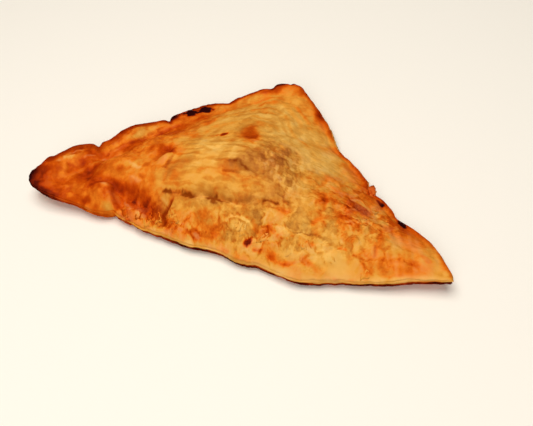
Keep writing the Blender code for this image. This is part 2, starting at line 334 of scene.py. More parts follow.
def mark_sum(marks: tuple[Swell, ...], x: Array, y: Array, edge: float) -> Array:
    """Adds flat-topped marks with ragged borders: rise * step((1 - r) / edge + 0.5), where r is
    the distance from the mark's middle in its own half lengths, less a drift.

    Args:
        marks: the marks.
        x, y: plan places.
        edge: share of a mark's size over which its border fades.

    Returns:
        The sum at each place.
    """
    total = np.zeros_like(x)
    ragged = 0.45 * rough(x, y, 1.6, 3, 2003)
    for mark in marks:
        turn = math.radians(mark.turn)
        dx, dy = x - mark.x, y - mark.y
        along = (dx * math.cos(turn) + dy * math.sin(turn)) / mark.long
        aside = (dy * math.cos(turn) - dx * math.sin(turn)) / mark.short
        total += mark.rise * smooth_step((1.0 - np.hypot(along, aside) + ragged) / edge + 0.5)
    return total


@dataclass(frozen=True)
class PuffForm:
    """The puff's plan and height, from the same named sizes as its solid.

    Every place is named by its three corner shares: of the left tip, the right tip and the
    back corner, which add up to 1. The shares give a place of the flat triangle, the edges'
    bulges push it outwards, and its distances from the edges give its height.
    """

    corners: tuple = ((-85.5, 1.0), (85.0, 0.0), (-0.8, 85.6))
    rim_top: float = 4.5
    crown_top: float = 26.5
    left_rim: float = 6.0
    right_rim: float = 2.0
    tip_blunt: float = 1.6
    tip_reach: float = 0.022
    front_run: float = 26.0
    right_run: float = 40.0
    left_run: float = 44.0
    left_soft: float = 3.0
    front_round: float = 2.2
    right_round: float = 1.7
    left_round: float = 1.4
    rim_puff: float = 0.8
    rim_puff_at: float = 3.2
    rim_puff_half: float = 2.6
    groove_depth: float = 1.3
    groove_at: float = 8.8
    groove_half: float = 2.4
    right_rim_share: float = 0.35
    ripple_depth: float = 0.2
    ripple_pitch: float = 4.6
    ripple_first: float = 7.0
    ripple_last: float = 24.0
    ripple_from_y: float = 38.0
    ripple_fade_y: float = 14.0
    ripple_turn: float = 5.0
    nick_depth: float = 6.0
    edge_fade: float = 0.4
    edges: tuple[Edge, ...] = (
        Edge(0, 1, 2,
             (Bulge(0.01, 0.20, 13.0), Bulge(0.31, 0.08, 1.9), Bulge(0.457, 0.186, 9.9),
              Bulge(0.708, 0.113, 11.9), Bulge(0.863, 0.085, 5.9)),
             (Bulge(0.201, 0.04, 2.0), Bulge(0.246, 0.013, -1.8), Bulge(0.569, 0.04, 2.3))),
        Edge(1, 2, 0,
             (Bulge(0.123, 0.10, 3.2), Bulge(0.45, 0.15, -1.3), Bulge(0.64, 0.08, -2.8),
              Bulge(0.93, 0.25, 1.2)),
             (Bulge(0.281, 0.04, -1.3), Bulge(0.414, 0.025, -3.4), Bulge(0.413, 0.012, 3.4))),
        Edge(2, 0, 1,
             (Bulge(0.087, 0.08, 3.4), Bulge(0.327, 0.23, 6.0), Bulge(0.633, 0.091, 6.6),
              Bulge(0.84, 0.096, 9.0)),
             (Bulge(0.021, 0.013, -4.0), Bulge(0.094, 0.019, -4.0), Bulge(0.262, 0.03, -2.4),
              Bulge(0.491, 0.012, -2.4), Bulge(0.754, 0.012, -2.9), Bulge(0.927, 0.017, 3.0))),
    )
    curls: tuple[Swell, ...] = swells(
        (-85, 0.5, 26, 26, 5.5), (-1, 85, 22, 22, 3.5), (85.5, 0, 24, 24, 3), (-50, 48, 32, 32, 4),
    )
    folds: tuple[Swell, ...] = swells(
        # folded corner at the front left, crease that bounds it, trough between it and the crown
        (-50, -1, 9, 4.6, 2.8, -12), (-41.3, -1.6, 5.2, 1.7, -2.2, -50), (-33, -0.8, 12, 3.4, -2.6, -13),
        # left end: dip across it, blister near the tip, ridge behind the dip
        (-59.5, 9, 7, 2.8, -2, 68), (-70, 13, 6, 4, 0.9, 40), (-53, 13, 9, 5, 1.2, 25),
        # blister on the crown's left flank and hollow behind it, slit and its branch down the front
        (-28, 16, 4, 2.6, 1.2, 60), (-31, 21, 6, 2.4, -0.8, 55), (-1, 3.8, 22, 1.5, -1.2, 2),
        (-20.3, -1.4, 4.2, 1.4, -1.2, 78),
        # dimple and sunken oval on the crown, broad flakes on the front from left to right
        (-1, 35.5, 5.6, 4.4, -1.3, 20), (2.5, 13.5, 6.5, 3.4, -0.7, 10), (10, -2, 8, 3.6, 0.9, 8),
        (-4, -4.5, 7, 3.6, 0.7, 5), (29, -4, 9, 4.4, 0.8),
        # shoulder of the right flank and hollow in front of it, swelling towards the right tip
        (47, 12, 8, 5.6, 1.3, 60), (38, 7, 8, 2.4, -0.9, 55), (58, 6, 8, 5, 1, -20),
        # small flake standing on the right edge, furrow on the right flank and ridge beside it
        (49.2, 33.4, 1.8, 1.6, 1.5), (24, 33, 9, 2.6, -0.6, 75), (16, 26, 9, 2.2, 0.5, 80),
    )
    crag_rows: tuple = ((-38.0, 76.0, -5.2, 23), (-30.0, 70.0, -0.4, 17))
    crag_half_long: float = 2.8
    crag_half_short: float = 1.5
    crag_rise: float = 0.75
    golden: float = 0.6180339887

    def outward(self, edge: Edge) -> Array:
        """Unit vector square to an edge, out of the puff."""
        along = np.array(self.corners[edge.end]) - np.array(self.corners[edge.start])
        return np.array((along[1], -along[0])) / np.linalg.norm(along)

    def span(self, edge: Edge) -> float:
        """Distance from an edge to the corner opposite."""
        reach = np.array(self.corners[edge.far]) - np.array(self.corners[edge.start])
        return float(-reach @ self.outward(edge))

    def middle(self) -> Array:
        """Centre of the inner circle: the corners' mean, weighted by the sides opposite."""
        sides = np.linalg.norm(np.roll(self.corners, -1, 0) - np.roll(self.corners, 1, 0), axis=1)
        return sides @ np.array(self.corners) / sides.sum()

    def bow(self, bulges: tuple[Bulge, ...], share: Array) -> Array:
        """How far an edge stands out: (4 s (1 - s))^fade * sum of rise * exp(-((s - c) / r)^2)."""
        fade = np.clip(4.0 * share * (1.0 - share), 0.0, None) ** self.edge_fade
        return fade * sum(b.rise * hump(share - b.share, b.reach) for b in bulges)

    def plan(self, shares: Array, with_nicks: bool = True) -> Array:
        """Plan places for corner shares: the flat triangle pushed out by its edges' bulges.

        A broad bulge fades with the square of the nearness to its edge, and a nick with
        exp(-(distance / nick depth)^2). Each sharp corner is drawn back towards the middle.

        Args:
            shares: corner shares, one row of three for each place.
            with_nicks: whether the small nicks of the rim are added.

        Returns:
            One row of x and y for each place.
        """
        places = shares @ np.array(self.corners)
        for edge in self.edges:
            near = shares[:, edge.start] + shares[:, edge.end]
            share = shares[:, edge.end] / np.maximum(near, 1e-9)
            out = near**2 * self.bow(edge.bulges, share)
            if with_nicks:
                inward = shares[:, edge.far] * self.span(edge)
                out += hump(inward, self.nick_depth) * self.bow(edge.nicks, share)
            places = places + out[:, None] * self.outward(edge)
        middle = self.middle()
        for index, corner in enumerate(np.array(self.corners)):
            pull = self.tip_blunt * hump(1.0 - shares[:, index], self.tip_reach)
            back = (middle - corner) / np.linalg.norm(middle - corner)
            places = places + pull[:, None] * back
        return places

    def distances(self, shares: Array) -> tuple[Array, Array, Array]:
        """Distances from the fold, the right rim and the left rim."""
        return tuple(shares[:, edge.far] * self.span(edge) for edge in self.edges)

    def slope(self, distance: Array, run: float, fullness: float) -> Array:
        """Share of the crown's height: 1 - (1 - distance / run)^fullness."""
        return 1.0 - (1.0 - np.clip(distance / run, 0.0, 1.0)) ** fullness

    def rim_shape(self, distance: Array) -> Array:
        """The rim's puffed middle less the groove pressed behind it, each a rounded line."""
        puff = self.rim_puff * hump(distance - self.rim_puff_at, self.rim_puff_half)
        return puff - self.groove_depth * hump(distance - self.groove_at, self.groove_half)

    def corner_distance(self, to_left: Array, to_right: Array) -> Array:
        """Distance from the nearer rim that turns the back corner on a soft curve."""
        turn = self.ripple_turn
        return -turn * np.log(np.exp(-to_left / turn) + np.exp(-to_right / turn))

    def ripples(self, y: Array, inward: Array) -> Array:
        """Waves depth * cos(2 pi inward / pitch), kept to the back corner by a window."""
        window = (eased(inward, self.ripple_first, 2.0) * eased(inward, self.ripple_last, -6.0)
                  * eased(y, self.ripple_from_y, self.ripple_fade_y))
        return self.ripple_depth * window * np.cos(2.0 * np.pi * inward / self.ripple_pitch)

    def crags(self) -> tuple[Swell, ...]:
        """Short flakes in rows above the fold, spread by the golden ratio.

        Returns:
            One swell for each flake.
        """
        made = []
        for first, last, y, count in self.crag_rows:
            for step in range(count):
                spread = (step * self.golden) % 1.0
                sway = (step * self.golden * 3.0) % 1.0
                size = 0.7 + 0.6 * sway
                made.append(Swell(first + (last - first) * (step + 0.6 * spread) / count,
                                  y + 4.0 * (sway - 0.5), self.crag_half_long * size,
                                  self.crag_half_short * size,
                                  self.crag_rise * (2.0 * spread - 0.8), 60.0 * (spread - 0.5)))
        return tuple(made)

    def edge_height(self, places: Array) -> Array:
        """Height of the crust's upper edge, with the curl of the tips and the left rim."""
        return self.rim_top + swell_sum(self.curls, places[:, 0], places[:, 1])

    def height(self, shares: Array, places: Array) -> Array:
        """Height of the skin: rim, crown, ripples, folds and crags added up.

        The crown is the product of the three slopes that rise from the edges.

        Args:
            shares: corner shares of each place.
            places: its plan place.

        Returns:
            The height above the base at each place.
        """
        x, y = places[:, 0], places[:, 1]
        to_fold, to_right, to_left = self.distances(shares)
        from_left = self.left_soft * np.logaddexp(0.0, (to_left - self.left_rim) / self.left_soft)
        crown = (self.slope(to_fold, self.front_run, self.front_round)
                 * self.slope(to_right - self.right_rim, self.right_run, self.right_round)
                 * self.slope(from_left, self.left_run, self.left_round))
        rims = self.rim_shape(to_left) * eased(to_right, 3.0, 8.0)
        rims *= 1.0 - 0.75 * eased(x, -46.0, 10.0)
        rims += self.right_rim_share * self.rim_shape(to_right) * eased(to_left, 3.0, 8.0)
        height = self.edge_height(places) + (self.crown_top - self.rim_top) * crown
        height += rims * smooth_step(to_fold / 8.0)
        height += self.ripples(y, self.corner_distance(to_left, to_right))
        height += swell_sum(self.folds, x, y) * smooth_step(to_fold / 4.0 + 0.3)
        height += swell_sum(self.crags(), x, y) * smooth_step(to_fold / 3.0)
        return height


# ---- Fine relief --------------------------------------------------------------------------

@dataclass(frozen=True)
class FineRelief:
    """Laps, creases, flakes, blisters and grain that the skin has beyond its main form.

    A crease is a hollow or ridge rise * exp(-(distance / half)^2) along its line. A lap is
    the edge of a leaf of pastry that lies over the next one: it stands up by its rise on the
    left of its line, and falls back to the skin over several millimetres behind that edge.
    """

    creases: tuple[Line, ...] = lines(
        # the dip that parts the left end from the crown, and the folds that run into it
        (-0.3, 1.4, 0, (-66.4, 13.4), (-61.9, 9.4), (-58.5, 5), (-57.5, 1)),
        (-0.35, 0.9, 0.05, (-69, 8), (-65, 6.5), (-61, 5)),
        (-0.4, 0.8, 0.06, (-67, 21), (-66, 17), (-65, 13)),
        # trough behind the folded corner, down to the slit's branch
        (-0.6, 1.6, 0.06, (-56, 2), (-50, 4.6), (-44, 2.6), (-37, 0.6), (-30, -1), (-24, -3.4)),
        (-0.4, 0.8, 0, (-46.5, 3), (-44.6, -0.5), (-43, -3), (-42.2, -6)),
        # groove behind the left rim; the brown of its second crease is painted shadow under the rim's edge
        (-0.3, 0.9, 0.08, (-63, 17), (-58.5, 20.5), (-54.5, 25.5), (-50.5, 30.5)),
        (-0.35, 0.6, 0.16, (-52, 28), (-47, 34), (-43, 37.6), (-39.6, 42.6), (-36, 46.6)),
        # the slit's branch, and furrows on the crown
        (-0.7, 0.6, 0.2, (-18.5, 2.6), (-20, -0.5), (-21.6, -3.4), (-20.4, -6.2)),
        (-0.4, 0.7, 0.1, (-26, 12), (-24.5, 8.5), (-25, 4.8)),
        (-0.6, 1.1, 0.14, (-33, 23.5), (-29.5, 22), (-26.5, 18)),
        (-0.4, 1, 0.08, (30.5, 9), (31.5, 16), (33, 24), (33.5, 33)),
        (-0.35, 0.8, 0.05, (22.5, 7), (24, 14), (23, 22)),
        (-0.5, 0.9, 0.1, (36, 5), (36.8, 10), (35.6, 16.5)),
        (-0.45, 0.6, 0.07, (57.5, -1), (57.8, 5), (56.6, 12)),
        (-0.5, 1, 0.12, (43, 10), (46.5, 14), (48.5, 20)),
        (-0.5, 0.8, 0.1, (52.5, 21), (53.5, 25), (52.5, 29.5)),
    )
    laps: tuple[Line, ...] = lines(
        # edge of the folded corner, walked with the fold on its left
        (0.7, 4, -0.03, (-40.2, -5.8), (-42.8, -2.6), (-45.4, 0.6), (-48.6, 4.4)),
        # upper edge of the left rim, which stands over the groove
        (-0.25, 3, 0, (-37, 46.5), (-42, 41), (-47.4, 36.2), (-51.8, 31.6), (-56, 26.2), (-59.6, 21.2)),
        # flakes on the front, from the slit's branch to the right
        (0.3, 3, -0.03, (15.5, -2.4), (11, -0.6), (7, -0.5), (4.6, -2.2)),
        (0.3, 3, 0.03, (4.2, -7.6), (4.8, -4), (3.6, -0.8), (0.6, 0.6)),
        (0.35, 2.6, 0.03, (27.5, -6.8), (25, -3.6), (21, -3.2), (18, -5.6)),
        (-0.5, 3, 0.05, (30, -4.2), (37, -3), (44, -1.2), (51, 0.8)),
        (0.5, 3, 0.04, (41, 7), (46, 5.8), (52, 6.6), (55, 9.5)),
        (0.2, 3, 0, (26, 3), (30, 1.6), (33.5, 2.6), (36.5, 5.6)),
        (0.5, 2.4, -0.03, (-12, -6.6), (-15, -3.4), (-19, -2.6)),
        (0.5, 2.4, -0.05, (-24, -5.6), (-28, -5), (-33, -3.6), (-37.5, -2)),
        (-0.5, 2.2, 0.05, (12, -8), (20, -9), (30, -9.6), (38, -9), (46, -7.2)),
        (-0.5, 2, 0.05, (-30, -6.4), (-18, -7.3), (-6, -7.9), (6, -7.8)),
        # flakes on the right shoulder
        (-0.5, 2.5, 0.05, (40.5, 22), (43.5, 19), (43.2, 15), (41, 12)),
        (-0.5, 2.5, 0.04, (50.5, 20), (49.5, 16), (47.5, 12.5)),
        (0.45, 2.5, 0.03, (61.5, 15.5), (59, 12), (58, 8)),
        (0.4, 3, 0.02, (38.5, 33), (39.5, 27), (38, 21)),
        # skin of the crown that has come away round the sunken oval
        (-0.08, 3, 0, (-6.5, 14.5), (-3, 17), (2.5, 17.4), (7.5, 15.8), (9.6, 13.2)),
        (0.35, 2.5, 0.02, (12, 33), (16, 29), (17.5, 24.5)),
        # lap on the left end
        (0.45, 2.6, -0.05, (-77, 12.5), (-73.6, 10.4), (-70, 13.6), (-67.4, 17.4)),
        (-0.4, 2.5, 0.03, (-73.4, 10.2), (-70.6, 7.4), (-69.6, 3)),
    )
    blisters: tuple[Swell, ...] = swells(
        (-27.6, 15, 3.2, 2.2, 0.75, 60), (-65, 14.6, 2.8, 1.9, 0.6, -45), (-49.4, 2, 2.2, 1.4, 0.6, -20),
        (-70.6, 15, 2.6, 1.6, 0.4, 50), (-50.5, 8.5, 2.6, 1.7, 0.4, 20), (-44, 14, 4, 2.4, 0.35, 30),
        (-38, 8, 4, 2, 0.35, 10), (-35, 31, 4.5, 2.6, 0.35, 50), (-54, 36, 3.6, 2, 0.4, 45),
        (-58, 29, 3.2, 1.8, 0.35, 60), (-71, 20.5, 3, 2, 0.35, 20), (-17.5, 51, 3.4, 2, 0.35, 60),
        (-8, 49, 3, 2, 0.3, 70), (-17, 70, 3, 1.5, 0.4, 40), (15, 67, 3, 1.6, 0.35, -50),
        (7, 42, 5, 3, 0.35, 60), (10, 34, 3.4, 2.4, 0.4, 40), (16, 41, 3, 5, 0.3, 20),
        (-14, 26, 6, 4, 0.3, 20), (-10.5, 8.8, 5, 2, 0.3, 5), (44, 24, 3, 2, 0.4, 60),
        (38.5, 14.5, 2.4, 1.8, 0.4, 70), (55, 21, 2.6, 1.8, 0.4, 70), (51, 3.2, 2.6, 1.8, 0.45),
        (37.4, 2.8, 2.4, 1.8, 0.45, 40), (28.6, 5.4, 2.4, 1.8, 0.4, 30), (44, -4.4, 5, 2.2, 0.35, 10),
        (66, 4, 4, 3, 0.4, 20), (74, 3, 3, 2.2, 0.35, 20),
    )
    flaky_places: tuple[Swell, ...] = swells(
        (24, -3, 36, 8, 0.9, 4), (46, -5, 8, 4, -0.6), (48, 12, 15, 11, 0.8, 30), (-24, -5, 16, 4.5, 1, -8),
        (20, 20, 14, 16, 0.45, 60), (44, 30, 6, 12, 0.5),
    )
    slit: Line = Line(((-24.5, 4.3), (-20.0, 3.6), (-15.5, 2.9), (-12.0, 2.4), (-8.0, 2.8),
                       (-4.0, 4.2), (-0.5, 3.4), (4.0, 4.3), (9.0, 4.5), (14.0, 5.3),
                       (19.0, 5.6), (22.5, 6.4)), -0.7, 0.6, 0.0)
    flake_step: float = 0.34
    flake_pitch: float = 5.2
    chip_step: float = 0.11
    chip_pitch: float = 2.2
    swell_depth: float = 0.65
    swell_pitch: float = 9.0
    grain_depth: float = 0.26
    grain_pitch: float = 2.6
    sheet_step: float = 0.30
    sheet_pitch: float = 5.2
    sheet_levels: tuple[float, ...] = (-0.16, 0.02, 0.20)
    wrinkle_depth: float = 0.22
    wrinkle_pitch: float = 4.2
    pucker_depth: float = 0.32
    pucker_pitch: float = 7.0
    pucker_width: float = 0.06
    rag_depth: float = 0.42
    rag_reach: float = 2.5
    border_share: float = 0.35

    def flaky(self, x: Array, y: Array) -> Array:
        """How flaky the skin is, from 0 to 1: a tenth everywhere and more in named places."""
        return np.clip(0.10 + swell_sum(self.flaky_places, x, y), 0.0, 1.0)

    def warped(self, x: Array, y: Array) -> tuple[Array, Array]:
        """The plan pushed about by drifts, so that borders drawn on it run unevenly."""
        return (x + 2.8 * rough(x, y, 4.4, 4, 101), y + 2.2 * rough(x, y, 3.6, 4, 211))

    def flakes(self, x: Array, y: Array) -> Plates:
        """Broad flakes of the skin, longer along the fold than across it."""
        wx, wy = self.warped(x, y)
        return plates(wx, wy, self.flake_pitch, 1.7, 31)

    def chips(self, x: Array, y: Array) -> Plates:
        """Small chips of the skin."""
        wx, wy = self.warped(x * 1.02, y)
        return plates(wx, wy, self.chip_pitch, 1.3, 57)

    def sheets(self, x: Array, y: Array) -> tuple[Array, Array]:
        """Torn sheets of pastry that lie on each other, seen as terraces of one rough field.

        Args:
            x, y: plan places.

        Returns:
            How many sheets lie above the lowest, each edge a steep step, and how near an edge is,
            from 0 to 1.
        """
        wx, wy = self.warped(x, y)
        ground = rough(0.6 * wx, wy, self.sheet_pitch, 4, 1801)
        masks = [smooth_step((ground - level) / 0.05 + 0.5) for level in self.sheet_levels]
        return sum(masks), sum(4.0 * mask * (1.0 - mask) for mask in masks)

    def puckers(self, x: Array, y: Array) -> Array:
        """Narrow folds in the skin of the left end: exp(-(field / width)^2) of a rough field.

        Args:
            x, y: plan places.

        Returns:
            From 0 between the folds to 1 in them, kept to the left end and broken up.
        """
        found = rough(0.8 * x, y, self.pucker_pitch, 3, 641)
        broken = smooth_step(0.5 + 3.0 * rough(x, y, 9.0, 2, 653))
        return eased(x, -24.0, -10.0) * broken * hump(found, self.pucker_width)

    def line_height(self, x: Array, y: Array) -> Array:
        """Height of all creases, laps and the slit.

        Args:
            x, y: plan places.

        Returns:
            For a crease rise * exp(-(d / half)^2), and for a lap rise * exp(-d / half) on its
            left alone, each faded at both its ends.
        """
        wx = x + 0.5 * rough(x, y, 3.0, 2, 307)
        wy = y + 0.5 * rough(x, y, 3.0, 2, 331)
        total = np.zeros_like(x)
        for line in self.creases:
            total += line.rise * line.ridge(wx, wy)
        for line in self.laps:
            signed, _, window = line.measure(wx, wy)
            behind = np.exp(-np.clip(signed, 0.0, None) / line.half)
            total += line.rise * window * behind * smooth_step(signed / 0.5 + 0.5)
        signed, share, window = self.slit.measure(wx, wy)
        width = self.slit.half * (1.0 + 0.5 * drift(60.0 * share, 0.0 * share, 4.0, 401))
        total += self.slit.rise * window * hump(signed, width)
        total += 0.2 * window * hump(signed + 1.7, 0.9)
        return total

    def height(self, x: Array, y: Array) -> Array:
        """Height that the fine relief adds to the form.

        Args:
            x, y: plan places.

        Returns:
            Lines, blisters, flakes, chips, torn sheets, broad swells, wrinkles and grain.
        """
        flaky = self.flaky(x, y)
        broad, small = self.flakes(x, y), self.chips(x, y)
        step = (broad.number - 0.5) * 1.4 + 0.9 * broad.along * (broad.other - 0.5)
        crack = hump(broad.gap, 0.10)
        total = flaky * self.flake_step * (step - 0.6 * crack)
        total += flaky * self.chip_step * (small.number - 0.5 - 0.5 * hump(small.gap, 0.14))
        total += (0.25 + flaky) * self.sheet_step * (self.sheets(x, y)[0] - 1.5)
        total += self.swell_depth * rough(x, y, self.swell_pitch, 3, 503)
        wrinkles = 1.0 - 2.0 * np.abs(rough(0.85 * x, y, self.wrinkle_pitch, 2, 607))
        total += self.wrinkle_depth * (wrinkles - 0.4)
        total += self.grain_depth * rough(x, y, self.grain_pitch, 2, 709)
        total -= self.pucker_depth * self.puckers(x, y)
        return total + self.line_height(x, y) + swell_sum(self.blisters, x, y)


# ---- Browning -----------------------------------------------------------------------------

